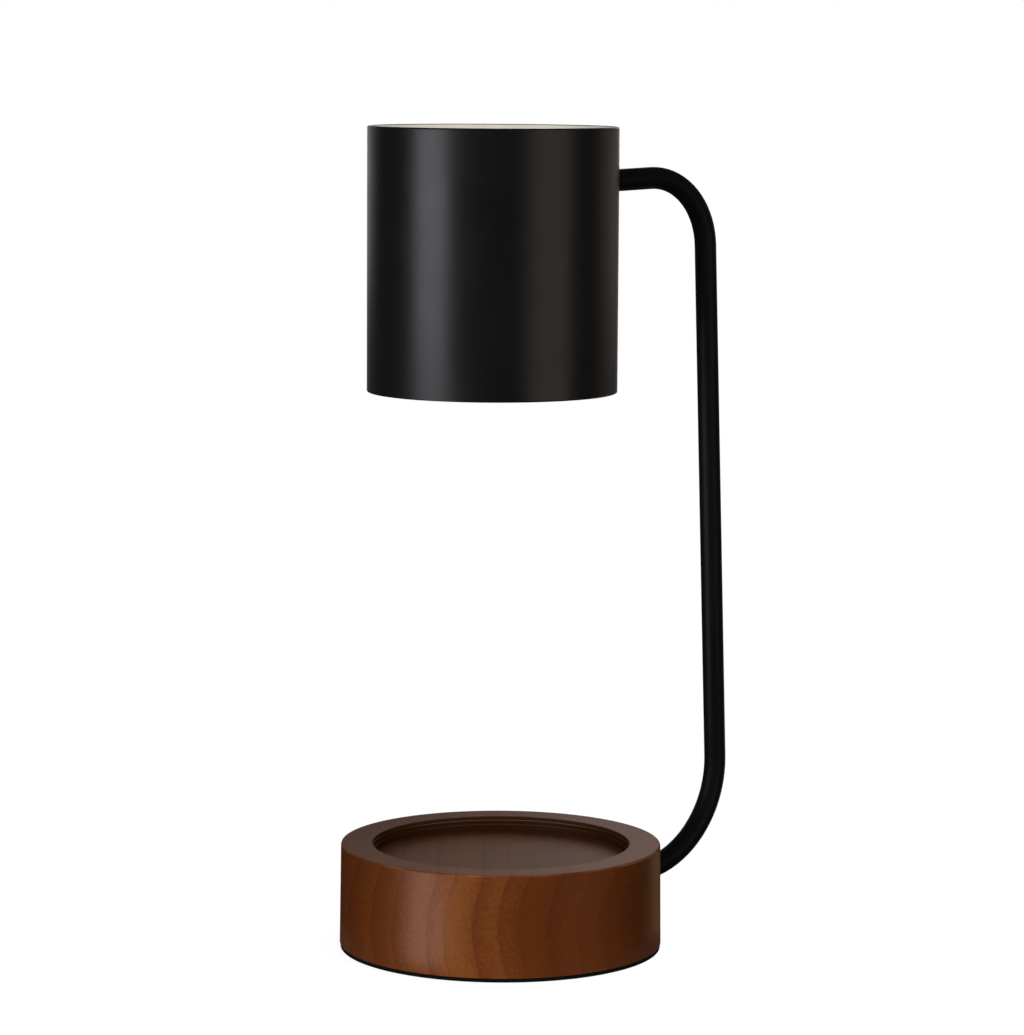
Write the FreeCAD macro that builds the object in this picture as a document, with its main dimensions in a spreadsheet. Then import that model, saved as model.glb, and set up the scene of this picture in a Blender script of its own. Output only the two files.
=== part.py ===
import FreeCAD, Part
import math
import os
import re

import Sketcher

# Candle warmer lamp. A jar candle stands in the recess of a turned wooden base, and a reflector
# bulb in a drum shade above it melts the wax. A bent tube carries the shade.
#
# Frame: origin at the centre of the base's underside, +Z up, the arm towards +X, millimetres.
# The cord leaves the base towards +Y.

SIZES = {
    # wooden base and the pad under it
    "base_foot_radius": 65.0,
    "base_top_radius": 64.5,
    "base_top": 42.2,
    "base_edge_round": 0.7,
    "base_foot_round": 0.3,
    "pad_thickness": 1.5,
    "pad_radius": 64.7,
    "recess_radius": 51.8,
    "recess_depth": 5.5,
    "first_ledge": 0.35,
    "first_ledge_depth": 1.4,
    "second_ledge": 0.55,
    "second_ledge_depth": 3.1,
    "recess_lip_round": 0.4,
    "ledge_round": 0.3,
    # hollow under the base
    "cavity_radius": 44.0,
    "cavity_top": 30.2,
    "rebate_radius": 52.0,
    "plate_radius": 51.7,
    "plate_thickness": 1.0,
    "plate_screw_radius": 1.5,
    "plate_screw_head_radius": 2.8,
    "plate_screw_length": 12.0,
    "plate_screw_circle": 48.0,
    "weight_radius": 41.0,
    "weight_thickness": 9.0,
    "weight_edge_round": 1.5,
    "weight_hole_radius": 6.0,
    "weight_screw_radius": 2.0,
    "weight_screw_head_radius": 4.0,
    "weight_screw_length": 9.0,
    "weight_screw_offset": 26.0,
    # bent tube, both ends turned down and threaded
    "arm_radius": 4.5,
    "arm_bore_radius": 3.0,
    "arm_low": 20.3,
    "arm_low_corner": 118.8,
    "arm_high_corner": 309.5,
    "arm_lean": 2.38,
    "arm_slope": 1.97,
    "arm_low_bend": 42.5,
    "arm_high_bend": 29.5,
    "arm_seat": 44.5,
    "arm_fit_gap": 0.05,
    "thread_radius": 4.0,
    "low_thread_length": 9.0,
    "set_screw_radius": 2.0,
    "set_screw_length": 12.0,
    "set_screw_offset": 55.0,
    "set_screw_socket": 1.15,
    # washers and nuts on the arm's threads
    "washer_radius": 8.0,
    "washer_thickness": 1.6,
    "washer_flat_gap": 1.0,
    "lock_washer_radius": 7.0,
    "lock_washer_thickness": 0.8,
    "washer_bore_radius": 4.2,
    "tag_thickness": 0.6,
    "tag_reach": 12.0,
    "tag_width": 5.0,
    "notch_width": 1.4,
    "notch_start": 0.76,
    "nut_corner_ease": 0.97,
    "dome_ratio": 1.25,
    "cross_length": 1.3,
    "cross_slot": 0.24,
    "cross_floor": 0.45,
    "nut_corner_radius": 7.5,
    "nut_thickness": 4.0,
    # cord gland
    "gland_height": 17.0,
    "gland_radius": 4.5,
    "gland_bore_radius": 3.1,
    "gland_flange_radius": 6.5,
    "gland_flange_thickness": 1.5,
    "gland_seat_gap": 0.2,
    "gland_flat": 63.6,
    "gland_length": 21.5,
    "gland_mouth_chamfer": 0.5,
    # terminal block
    "pole_pitch": 8.0,
    "block_width": 25.6,
    "block_depth": 17.0,
    "block_foot_height": 8.0,
    "tower_depth": 11.0,
    "tower_width": 6.4,
    "tower_height": 5.0,
    "insert_height": 5.5,
    "insert_radius": 2.2,
    "insert_bore_radius": 1.3,
    "clamp_screw_offset": 3.4,
    "clamp_screw_radius": 1.25,
    "clamp_screw_length": 6.0,
    "block_screw_radius": 1.5,
    "block_screw_head_radius": 2.7,
    "block_screw_head_height": 1.8,
    "block_screw_length": 13.0,
    # wires
    "wire_radius": 1.0,
    "wire_offset": 1.1,
    "wire_bend": 8.0,
    "terminal_stub": 6.0,
    "arm_end_stub": 4.0,
    "holder_stub": 5.0,
    # drum shade
    "shade_centre": -5.8,
    "shade_radius": 49.8,
    "shade_wall": 1.0,
    "shade_bottom": 225.2,
    "shade_top": 330.2,
    "shade_edge_round": 0.6,
    "shade_lip_round": 0.3,
    "saddle_radius": 6.5,
    "outer_saddle_thickness": 2.4,
    "inner_saddle_thickness": 1.6,
    "high_thread_reach": 10.7,
    # bracket that carries the lamp holder
    "bracket_thickness": 1.5,
    "bracket_half_width": 8.0,
    "bracket_foot": 298.5,
    "bracket_underside": 314.8,
    "bracket_reach": 15.0,
    "bracket_hole_radius": 3.5,
    "bracket_bend": 0.9,
    # lamp holder
    "holder_radius": 14.5,
    "holder_split": 303.0,
    "holder_underside": 292.8,
    "holder_edge_round": 1.0,
    "holder_screw_offset": 9.5,
    "holder_screw_radius": 1.5,
    "holder_screw_head_radius": 2.8,
    "holder_screw_head_height": 2.0,
    "holder_nut_corner_radius": 3.1,
    "holder_nut_thickness": 2.2,
    "holder_nut_recess": 0.2,
    "keyhole_plate": 3.0,
    "channel_height": 4.1,
    "channel_radius": 3.0,
    "entry_radius": 2.9,
    "neck_slot_radius": 1.8,
    "contact_thickness": 0.5,
    "contact_half_length": 2.1,
    "contact_half_width": 1.4,
    "contact_tail_top": 310.2,
    "contact_tail_half_width": 1.5,
    "contact_tail_half_thickness": 0.3,
    "holder_wire_height": 308.5,
    # reflector bulb
    "bulb_gap": 0.3,
    "bulb_turn": 30.0,
    "pin_offset": 5.0,
    "pin_neck_radius": 1.5,
    "pin_head_radius": 2.5,
    "pin_head_height": 3.0,
    "pin_root": 288.0,
    "bulb_base_radius": 10.5,
    "bulb_neck_radius": 9.0,
    "bulb_shoulder": 286.0,
    "bulb_neck_top": 282.0,
    "bulb_neck_bottom": 279.5,
    "bulb_socket_radius": 5.2,
    "bulb_socket_top": 288.0,
    "reflector_vertex": 285.8,
    "reflector_parameter": 15.0,
    "reflector_wall": 1.2,
    "reflector_rim_top": 247.0,
    "reflector_rim_radius": 25.0,
    "reflector_rim_bottom": 244.9,
    "lens_radius": 23.2,
    "lens_thickness": 1.8,
    "capsule_radius": 4.8,
    "capsule_wall": 0.9,
    "capsule_tip": 262.0,
    "filament_height": 274.0,
    "filament_radius": 0.7,
    "lead_radius": 0.35,
    "lead_offset": 3.0,
}

LOCK_WASHER_TEETH = 10

# Sizes that follow from the driving ones, as formulas in the sheet's words.
DERIVED = {
    "plate_top": "pad_thickness + plate_thickness",
    "recess_floor": "base_top - recess_depth",
    "recess_middle_radius": "recess_radius - first_ledge",
    "recess_foot_radius": "recess_middle_radius - second_ledge",
    "weight_top": "plate_top + weight_thickness",
    "arm_high_corner_x": "arm_low_corner - (arm_high_corner - arm_low) * tan(arm_lean * 1deg)",
    "shade_right": "shade_centre + shade_radius",
    "shade_inner": "shade_radius - shade_wall",
    "flange_inner": "shade_inner - bracket_thickness",
    "arm_wall_height": "arm_high_corner - (arm_high_corner_x - shade_right) * tan(arm_slope * 1deg)",
    "low_thread_end": "arm_seat - low_thread_length",
    "lock_washer_seat": "arm_seat - washer_thickness",
    "tag_seat": "lock_washer_seat - lock_washer_thickness",
    "low_nut_seat": "tag_seat - tag_thickness",
    "saddle_flat": "shade_wall + bracket_thickness + inner_saddle_thickness",
    "high_nut_seat": "saddle_flat + lock_washer_thickness",
    "gland_end": "gland_flat - gland_length",
    "insert_axis": "weight_top + insert_height",
    "foot_top": "weight_top + block_foot_height",
    "tower_top": "foot_top + tower_height",
    "bracket_top": "bracket_underside + bracket_thickness",
    "channel_bottom": "holder_underside + keyhole_plate",
    "channel_top": "channel_bottom + channel_height",
    "bulb_top": "holder_underside - bulb_gap",
    "pin_head_bottom": "channel_bottom + bulb_gap",
    "holder_nut_bottom": "holder_underside + holder_nut_recess",
    "lens_bottom": "reflector_rim_top - lens_thickness",
    "capsule_bore": "capsule_radius - capsule_wall",
}

doc = FreeCAD.newDocument("candle_warmer_lamp")
sheet = doc.addObject("Spreadsheet::Sheet", "dims")
for row, (alias, number) in enumerate(SIZES.items(), start=1):
    sheet.set(f"A{row}", alias)
    sheet.set(f"B{row}", str(number))
    sheet.setAlias(f"B{row}", alias)
doc.recompute()

parts = []


# ---- sizes, placing and marking -------------------------------------------------------------

def cells(formula):
    """Write a formula of plain size names as an expression on the sheet's cells."""
    def cell(word):
        name = word.group()
        if name in DERIVED:
            return f"({cells(DERIVED[name])})"
        return f"dims.{name}" if name in SIZES else name
    return re.sub(r"\b[a-z][a-z_]*\b", cell, formula)


def value(formula):
    """The number that a formula gives now."""
    result = sheet.evalExpression(cells(formula))
    return float(getattr(result, "Value", result))


def point(x, y, z):
    """A point whose coordinates are formulas."""
    return FreeCAD.Vector(value(x), value(y), value(z))


def place(thing, x="0", y="0", z="0", axis=(0, 0, 1), angle="0"):
    """Turn the object about an axis through its own origin, then move it, both bound to the sheet."""
    turn = FreeCAD.Rotation(FreeCAD.Vector(*axis), value(angle))
    thing.Placement = FreeCAD.Placement(point(x, y, z), turn)
    for coordinate, formula in zip("xyz", (x, y, z)):
        thing.setExpression(f"Placement.Base.{coordinate}", cells(formula))
    if value(angle):
        thing.setExpression("Placement.Rotation.Angle", cells(angle))
    return thing


def along_x(thing, x, y="0", z="0"):
    """Lay the object's own Z axis along +X."""
    return place(thing, x, y, z, axis=(0, 1, 0), angle="90")


def on_arm_end(thing, depth):
    """Stand the object on the arm's upper end axis, facing into the shade, depth past its wall."""
    x = f"shade_right - ({depth}) * cos(arm_slope * 1deg)"
    z = f"arm_wall_height - ({depth}) * sin(arm_slope * 1deg)"
    return place(thing, x, "0", z, axis=(0, 1, 0), angle="-(90 + arm_slope)")


def primitive(kind, name, **formulas):
    """A Part primitive with its properties bound to formulas."""
    solid = doc.addObject(f"Part::{kind}", name)
    for prop, formula in formulas.items():
        solid.setExpression(prop, cells(formula))
    return solid


def cylinder(name, radius, height):
    return primitive("Cylinder", name, Radius=radius, Height=height)


def cut(name, base, *tools):
    """The base with the tools taken out of it."""
    tool = tools[0] if len(tools) == 1 else group(f"{name}_tools", *tools)
    solid = doc.addObject("Part::Cut", name)
    solid.Base, solid.Tool = base, tool
    return solid


def fuse(name, *solids):
    joined = doc.addObject("Part::MultiFuse", name)
    joined.Shapes = solids
    joined.Refine = True
    return joined


def common(name, *solids):
    shared = doc.addObject("Part::MultiCommon", name)
    shared.Shapes = solids
    return shared


def group(name, *solids):
    """Separate solids kept together."""
    bundle = doc.addObject("Part::Compound", name)
    bundle.Links = solids
    return bundle


def part(label, solid):
    """Name a finished sub-part: its label is the node's name."""
    solid.Label = label
    parts.append(solid)
    return solid


# ---- sketched bodies ------------------------------------------------------------------------

def sketch_on(body, role, name):
    """A sketch on one of the body's own origin planes."""
    sketch = body.newObject("Sketcher::SketchObject", name)
    plane = next(item for item in body.Origin.OriginFeatures if item.Role == role)
    sketch.AttachmentSupport = [(plane, "")]
    sketch.MapMode = "FlatFace"
    return sketch


def pin_point(sketch, geometry, vertex, across, up):
    """Hold one point of a sketch at coordinates given by formulas."""
    for kind, formula in (("DistanceX", across), ("DistanceY", up)):
        index = sketch.addConstraint(Sketcher.Constraint(kind, geometry, vertex, value(formula)))
        sketch.setExpression(f"Constraints[{index}]", cells(formula))


def outline(sketch, corners):
    """A closed outline. A corner is (across, up), or (across, up, via_across, via_up) where the
    edge that starts there is an arc through the via point."""
    spots = [FreeCAD.Vector(value(corner[0]), value(corner[1]), 0) for corner in corners]
    ends = []
    for index, corner in enumerate(corners):
        start, finish = spots[index], spots[(index + 1) % len(spots)]
        if len(corner) == 2:
            edge = sketch.addGeometry(Part.LineSegment(start, finish))
            ends.append((edge, 1, 2))
            continue
        via = FreeCAD.Vector(value(corner[2]), value(corner[3]), 0)
        forward = (via - start).cross(finish - via).z > 0
        arc = Part.Arc(start, via, finish) if forward else Part.Arc(finish, via, start)
        edge = sketch.addGeometry(arc)
        ends.append((edge, 1, 2) if forward else (edge, 2, 1))
        mark = sketch.addGeometry(Part.Point(via), True)
        pin_point(sketch, mark, 1, corner[2], corner[3])
        sketch.addConstraint(Sketcher.Constraint("PointOnObject", mark, 1, edge))
    for index, (edge, first, last) in enumerate(ends):
        following, following_first, _ = ends[(index + 1) % len(ends)]
        sketch.addConstraint(Sketcher.Constraint("Coincident", edge, last, following, following_first))
        pin_point(sketch, edge, first, corners[index][0], corners[index][1])


def turned(name, corners, rounds=()):
    """A body turned about its own Z axis from an outline of (radius, height) corners. Each of
    rounds is (radius of the edge, height of the edge, radius of the rounding)."""
    body = doc.addObject("PartDesign::Body", name)
    profile = sketch_on(body, "XZ_Plane", f"{name}_profile")
    outline(profile, corners)
    turning = body.newObject("PartDesign::Revolution", f"{name}_turning")
    turning.Profile = profile
    turning.ReferenceAxis = (profile, ["V_Axis"])
    turning.Angle = 360
    doc.recompute()
    base = turning
    for index, (edge_radius, edge_height, rounding) in enumerate(rounds):
        rounded = body.newObject("PartDesign::Fillet", f"{name}_round_{index}")
        rounded.Base = (base, edges_round(base, value(edge_radius), value(edge_height)))
        rounded.setExpression("Radius", cells(rounding))
        doc.recompute()
        base = rounded
    return body


def edges_round(feature, radius, height):
    """Names of the feature's circular edges of that radius at that height."""
    found = []
    for number, edge in enumerate(feature.Shape.Edges, start=1):
        curve = edge.Curve
        if isinstance(curve, Part.Circle) and abs(curve.Radius - radius) < 1e-3 \
                and abs(curve.Center.z - height) < 1e-3:
            found.append(f"Edge{number}")
    return found


def machine_screw(name, radius, length, head_radius, head_height):
    """A domed screw with a cross recess: head seated at z = 0 and standing up, shank down."""
    shank = place(cylinder(f"{name}_shank", radius, length), z=f"-({length})")
    dome_radius = f"{head_radius} * dome_ratio"
    dome = place(primitive("Sphere", f"{name}_dome", Radius=dome_radius),
                 z=f"{head_height} - {dome_radius}")
    head = common(f"{name}_head", cylinder(f"{name}_blank", head_radius, head_height), dome)
    slots = []
    arms = (("cross_length", "cross_slot"), ("cross_slot", "cross_length"))
    for index, ratios in enumerate(arms):
        across, along = [f"{head_radius} * {ratio}" for ratio in ratios]
        slot = primitive("Box", f"{name}_slot_{index}", Length=across, Width=along, Height=head_height)
        slots.append(place(slot, f"-({across}) / 2", f"-({along}) / 2", f"{head_height} * cross_floor"))
    return fuse(name, shank, cut(f"{name}_recessed", head, *slots))


def countersunk_screw(name, radius, head_radius, length):
    """A countersunk screw with its flat at z = 0 and its tip up."""
    head = primitive("Cone", f"{name}_head", Radius1=head_radius, Radius2=radius,
                     Height=f"{head_radius} - {radius}")
    shank = cylinder(f"{name}_shank", radius, length)
    return fuse(name, head, shank)


def ring(name, outer, inner, thickness):
    """A flat ring from z = 0 up."""
    return cut(name, cylinder(f"{name}_disc", outer, thickness),
               cylinder(f"{name}_hole", inner, thickness))


def toothed_ring(name, outer, inner, thickness):
    """A lock washer: a flat ring with notches round its outer edge."""
    notches = []
    for index in range(LOCK_WASHER_TEETH):
        angle = 360 * index / LOCK_WASHER_TEETH
        cosine, sine = f"cos({angle} * 1deg)", f"sin({angle} * 1deg)"
        notch = primitive("Box", f"{name}_notch_{index}", Length=outer, Width="notch_width",
                          Height=thickness)
        notches.append(place(notch,
                             f"{outer} * notch_start * {cosine} + notch_width / 2 * {sine}",
                             f"{outer} * notch_start * {sine} - notch_width / 2 * {cosine}",
                             angle=f"{angle}"))
    return cut(name, ring(f"{name}_flat", outer, inner, thickness), *notches)


def hex_nut(name, corner_radius, thickness, bore):
    """A hexagon nut from z = 0 up, its corners rounded off by a ball."""
    block = primitive("Prism", f"{name}_block", Circumradius=corner_radius, Height=thickness)
    block.Polygon = 6
    ball = primitive("Sphere", f"{name}_ball",
                     Radius=f"sqrt(({corner_radius} * nut_corner_ease)^2 + ({thickness} / 2)^2)")
    eased = common(f"{name}_eased", block, place(ball, z=f"{thickness} / 2"))
    return cut(name, eased, cylinder(f"{name}_bore", bore, thickness))


# ---- base -----------------------------------------------------------------------------------

def screw_ring():
    """Four countersunk wood screws up through the cover plate into the wall of the base."""
    screws = []
    for quarter in range(4):
        angle = math.radians(45 + 90 * quarter)
        screw = countersunk_screw(f"plate_screw_{quarter}", "plate_screw_radius",
                                  "plate_screw_head_radius", "plate_screw_length")
        screws.append(place(screw, f"plate_screw_circle * {math.cos(angle):.6f}",
                            f"plate_screw_circle * {math.sin(angle):.6f}", "pad_thickness"))
    return part("bottom_plate_screws", group("plate_screw_ring", *screws))


def weight_screw_pair():
    """Two countersunk machine screws up through the cover plate into the counterweight."""
    screws = []
    for side in (-1, 1):
        screw = countersunk_screw(f"weight_screw_{side + 1}", "weight_screw_radius",
                                  "weight_screw_head_radius", "weight_screw_length")
        screws.append(place(screw, f"weight_screw_offset * {side}", "0", "pad_thickness"))
    return part("counterweight_screws", group("weight_screw_set", *screws))


def wooden_base(plate_screws):
    """Turned block: stepped recess for the jar on top, hollow and rebate underneath."""
    first, second = "base_top - first_ledge_depth", "base_top - second_ledge_depth"
    blank = turned("base_blank", [
        ("0", "cavity_top"),
        ("cavity_radius", "cavity_top"),
        ("cavity_radius", "plate_top"),
        ("rebate_radius", "plate_top"),
        ("rebate_radius", "pad_thickness"),
        ("base_foot_radius", "pad_thickness"),
        ("base_top_radius", "base_top"),
        ("recess_radius", "base_top"),
        ("recess_radius", first),
        ("recess_middle_radius", first),
        ("recess_middle_radius", second),
        ("recess_foot_radius", second),
        ("recess_foot_radius", "recess_floor"),
        ("0", "recess_floor"),
    ], rounds=[
        ("base_foot_radius", "pad_thickness", "base_foot_round"),
        ("base_top_radius", "base_top", "base_edge_round"),
        ("recess_radius", "base_top", "recess_lip_round"),
        ("recess_middle_radius", first, "ledge_round"),
        ("recess_foot_radius", second, "ledge_round"),
    ])
    arm_hole = along_x(cylinder("arm_hole", "arm_radius + arm_fit_gap", "base_foot_radius"),
                       "0", z="arm_low")
    washer_flat = along_x(cylinder("washer_flat", "washer_radius + washer_flat_gap", "arm_seat"),
                          "0", z="arm_low")
    gland_hole = place(cylinder("gland_hole", "gland_radius", "base_foot_radius"),
                       z="gland_height", axis=(1, 0, 0), angle="-90")
    gland_seat = place(cylinder("gland_seat", "gland_flange_radius + gland_seat_gap",
                                "base_foot_radius"),
                       y="gland_flat", z="gland_height", axis=(1, 0, 0), angle="-90")
    set_screw_hole = place(cylinder("set_screw_hole", "set_screw_radius", "arm_low"),
                           x="set_screw_offset")
    return part("wood_base", cut("base_block", blank, arm_hole, washer_flat, gland_hole, gland_seat,
                                 set_screw_hole, plate_screws))


def base_pad():
    """Thin foam disc glued under the base."""
    return part("base_pad", cylinder("pad_disc", "pad_radius", "pad_thickness"))


def bottom_plate(plate_screws, weight_screws):
    """Steel disc that closes the hollow."""
    disc = place(cylinder("plate_disc", "plate_radius", "plate_thickness"), z="pad_thickness")
    return part("bottom_plate", cut("plate_drilled", disc, plate_screws, weight_screws))


def counterweight(weight_screws, block_screw):
    """Cast-iron disc with rounded edges and a centre hole."""
    disc = turned("weight_disc", [
        ("weight_hole_radius", "plate_top"), ("weight_radius", "plate_top"),
        ("weight_radius", "weight_top"), ("weight_hole_radius", "weight_top"),
    ], rounds=[
        ("weight_radius", "plate_top", "weight_edge_round"),
        ("weight_radius", "weight_top", "weight_edge_round"),
    ])
    return part("counterweight", cut("weight_drilled", disc, weight_screws, block_screw))


def set_screw():
    """Headless socket screw that bears on the arm from below and stops it turning."""
    rod = place(cylinder("set_screw_rod", "set_screw_radius", "set_screw_length"), x="set_screw_offset",
                z="arm_low - arm_radius - set_screw_length")
    socket = primitive("Prism", "set_screw_recess", Circumradius="set_screw_socket",
                       Height="set_screw_radius")
    socket.Polygon = 6
    place(socket, x="set_screw_offset", z="arm_low - arm_radius - set_screw_length")
    return part("arm_set_screw", cut("set_screw_body", rod, socket))


def cord_gland():
    """Flanged nylon bush pressed into the back of the base."""
    bush = turned("gland_bush", [
        ("gland_bore_radius", "0"),
        ("gland_radius", "0"),
        ("gland_radius", "gland_length"),
        ("gland_flange_radius", "gland_length"),
        ("gland_flange_radius", "gland_length + gland_flange_thickness"),
        ("gland_bore_radius + gland_mouth_chamfer", "gland_length + gland_flange_thickness"),
        ("gland_bore_radius", "gland_length + gland_flange_thickness - gland_mouth_chamfer"),
    ], rounds=[("gland_flange_radius", "gland_length + gland_flange_thickness", "gland_mouth_chamfer")])
    place(bush, y="gland_end", z="gland_height", axis=(1, 0, 0), angle="-90")
    return part("cord_gland", bush)


def arm_base_hardware():
    """Washer, lock washer, earth tag and nut on the arm's lower thread, from the wood inwards."""
    washer = ring("low_washer", "washer_radius", "washer_bore_radius", "washer_thickness")
    part("arm_base_washer", along_x(washer, "lock_washer_seat", z="arm_low"))
    lock = toothed_ring("low_lock_washer", "lock_washer_radius", "washer_bore_radius",
                        "lock_washer_thickness")
    part("arm_base_lock_washer", along_x(lock, "tag_seat", z="arm_low"))
    eye = ring("tag_eye", "lock_washer_radius", "washer_bore_radius", "tag_thickness")
    along_x(eye, "low_nut_seat", z="arm_low")
    strap = primitive("Box", "tag_strap", Length="tag_thickness", Width="tag_reach - washer_bore_radius",
                      Height="tag_width")
    place(strap, "low_nut_seat", "-tag_reach", "arm_low - tag_width / 2")
    tongue = primitive("Box", "tag_tongue", Length="tag_reach / 2", Width="tag_thickness",
                       Height="tag_width")
    place(tongue, "low_nut_seat - tag_reach / 2", "-tag_reach", "arm_low - tag_width / 2")
    clear_thread = along_x(cylinder("tag_clearance", "washer_bore_radius", "tag_reach"),
                           "low_nut_seat - tag_reach / 2", z="arm_low")
    part("earth_tag", cut("tag_bent", fuse("tag_blank", eye, strap, tongue), clear_thread))
    nut = hex_nut("low_nut", "nut_corner_radius", "nut_thickness", "thread_radius")
    part("arm_base_nut", along_x(nut, "low_nut_seat - nut_thickness", z="arm_low"))


def pole_positions():
    """The three poles of the terminal block: live, neutral, earth."""
    return [f"pole_pitch * {index}" for index in (1, 0, -1)]


def block_fixing_screw():
    """Screw between two poles that holds the terminal block to the counterweight."""
    screw = machine_screw("block_fixing", "block_screw_radius", "block_screw_length",
                          "block_screw_head_radius", "block_screw_head_height")
    return part("terminal_block_screw", place(screw, "0", "pole_pitch / 2", "foot_top"))


def terminal_block(fixing_screw):
    """Three-way nylon block with brass inserts and two clamp screws in each."""
    foot = primitive("Box", "block_foot", Length="block_depth", Width="block_width",
                     Height="block_foot_height")
    place(foot, "-block_depth / 2", "-block_width / 2", "weight_top")
    towers, inserts, screws = [], [], []
    for number, y in enumerate(pole_positions()):
        tower = primitive("Box", f"tower_{number}", Length="tower_depth", Width="tower_width",
                          Height="tower_height")
        towers.append(place(tower, "-tower_depth / 2", f"{y} - tower_width / 2", "foot_top"))
        insert = ring(f"insert_{number}", "insert_radius", "insert_bore_radius", "block_depth")
        along_x(insert, "-block_depth / 2", y, "insert_axis")
        pair = []
        for side in (-1, 1):
            screw = cylinder(f"clamp_screw_{number}_{side + 1}", "clamp_screw_radius",
                             "clamp_screw_length")
            pair.append(place(screw, f"clamp_screw_offset * {side}", y,
                              "insert_axis + insert_bore_radius"))
        screws += pair
        inserts.append(cut(f"insert_tapped_{number}", insert, *pair))
    clamp_screws = part("terminal_clamp_screws", group("clamp_screw_set", *screws))
    insert_set = part("terminal_inserts", group("insert_set", *inserts))
    bores = [along_x(cylinder(f"block_bore_{number}", "insert_radius", "block_depth"),
                     "-block_depth / 2", y, "insert_axis")
             for number, y in enumerate(pole_positions())]
    wells = [place(cylinder(f"block_well_{number}_{side + 1}", "clamp_screw_radius", "tower_top"),
                   f"clamp_screw_offset * {side}", y, "insert_axis + insert_bore_radius")
             for number, y in enumerate(pole_positions()) for side in (-1, 1)]
    head_room = place(cylinder("block_head_room", "block_screw_head_radius", "tower_height"),
                      "0", "pole_pitch / 2", "foot_top")
    block = fuse("block_moulding", foot, *towers)
    part("terminal_block", cut("block_drilled", block, fixing_screw, head_room, *bores, *wells))
    return clamp_screws, insert_set


# ---- arm ------------------------------------------------------------------------------------

def arm_route(body):
    """The arm's centreline: level run, lower bend, leaning leg, upper bend, run to the shade.
    The runs meet at two virtual corners and the bends are tangent to them."""
    corners = [
        ("arm_seat", "arm_low"),
        ("arm_low_corner", "arm_low"),
        ("arm_high_corner_x", "arm_high_corner"),
        ("shade_right + outer_saddle_thickness * cos(arm_slope * 1deg)",
         "arm_wall_height + outer_saddle_thickness * sin(arm_slope * 1deg)"),
    ]
    route = sketch_on(body, "XZ_Plane", "arm_route")
    spots = [FreeCAD.Vector(value(across), value(up), 0) for across, up in corners]
    marks = []
    for spot, (across, up) in zip(spots, corners):
        mark = route.addGeometry(Part.Point(spot), True)
        pin_point(route, mark, 1, across, up)
        marks.append(mark)
    bends = [value("arm_low_bend"), value("arm_high_bend")]
    trims = [0.0]
    for corner, radius in zip((1, 2), bends):
        back = spots[corner - 1] - spots[corner]
        ahead = spots[corner + 1] - spots[corner]
        trims.append(radius / math.tan(back.getAngle(ahead) / 2))
    trims.append(0.0)
    runs, arcs = [], []
    for index in range(3):
        heading = (spots[index + 1] - spots[index]).normalize()
        runs.append((spots[index] + heading * trims[index], spots[index + 1] - heading * trims[index + 1]))
    lines = [route.addGeometry(Part.LineSegment(*run)) for run in runs]
    for corner, radius in zip((1, 2), bends):
        start, finish = runs[corner - 1][1], runs[corner][0]
        inward = ((start + finish) * 0.5 - spots[corner]).normalize()
        reach = math.hypot(radius, trims[corner])
        via = spots[corner] + inward * (reach - radius)
        arcs.append(route.addGeometry(Part.Arc(start, via, finish)))
    for corner in (1, 2):
        for line in lines[corner - 1:corner + 1]:
            route.addConstraint(Sketcher.Constraint("PointOnObject", marks[corner], 1, line))
    route.addConstraint(Sketcher.Constraint("Coincident", lines[0], 1, marks[0], 1))
    route.addConstraint(Sketcher.Constraint("Coincident", lines[2], 2, marks[3], 1))
    for arc, before, after, size in ((arcs[0], lines[0], lines[1], "arm_low_bend"),
                                     (arcs[1], lines[1], lines[2], "arm_high_bend")):
        route.addConstraint(Sketcher.Constraint("Tangent", before, 2, arc, 1))
        route.addConstraint(Sketcher.Constraint("Tangent", arc, 2, after, 1))
        index = route.addConstraint(Sketcher.Constraint("Radius", arc, value(size)))
        route.setExpression(f"Constraints[{index}]", cells(size))
    return route


def arm_tube():
    """One bent steel tube with a threaded spigot at each end."""
    body = doc.addObject("PartDesign::Body", "arm_bend")
    route = arm_route(body)
    section = sketch_on(body, "YZ_Plane", "arm_section")
    section.setExpression("AttachmentOffset.Base.z", cells("arm_seat"))
    for radius in ("arm_radius", "arm_bore_radius"):
        circle = section.addGeometry(Part.Circle(FreeCAD.Vector(0, value("arm_low"), 0),
                                                 FreeCAD.Vector(0, 0, 1), value(radius)))
        pin_point(section, circle, 3, "0", "arm_low")
        index = section.addConstraint(Sketcher.Constraint("Radius", circle, value(radius)))
        section.setExpression(f"Constraints[{index}]", cells(radius))
    doc.recompute()
    sweep = body.newObject("PartDesign::AdditivePipe", "arm_sweep")
    sweep.Profile = section
    sweep.Spine = route
    doc.recompute()
    section_area = math.pi * (value("arm_radius") ** 2 - value("arm_bore_radius") ** 2)
    ratio = sweep.Shape.Volume / section_area / route.Shape.Length
    print(f"arm sweep volume / (section x length): {ratio:.5f}")
    low_spigot = ring("low_spigot", "thread_radius", "arm_bore_radius", "low_thread_length")
    along_x(low_spigot, "low_thread_end", z="arm_low")
    high_spigot = ring("high_spigot", "thread_radius", "arm_bore_radius",
                       "outer_saddle_thickness + high_thread_reach")
    on_arm_end(high_spigot, "-outer_saddle_thickness")
    return part("arm_tube", fuse("arm_whole", body, low_spigot, high_spigot))


# ---- shade, bracket and lamp holder ---------------------------------------------------------

def shade_cylinder(name, radius):
    """A tall cylinder on the shade's axis, to trim curved faces with."""
    return place(cylinder(name, radius, "shade_top"), "shade_centre")


def end_hole(name, radius):
    """Clearance for the arm's upper spigot through the wall and the bracket."""
    return on_arm_end(cylinder(name, radius, "2 * high_thread_reach"), "-high_thread_reach")


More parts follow.
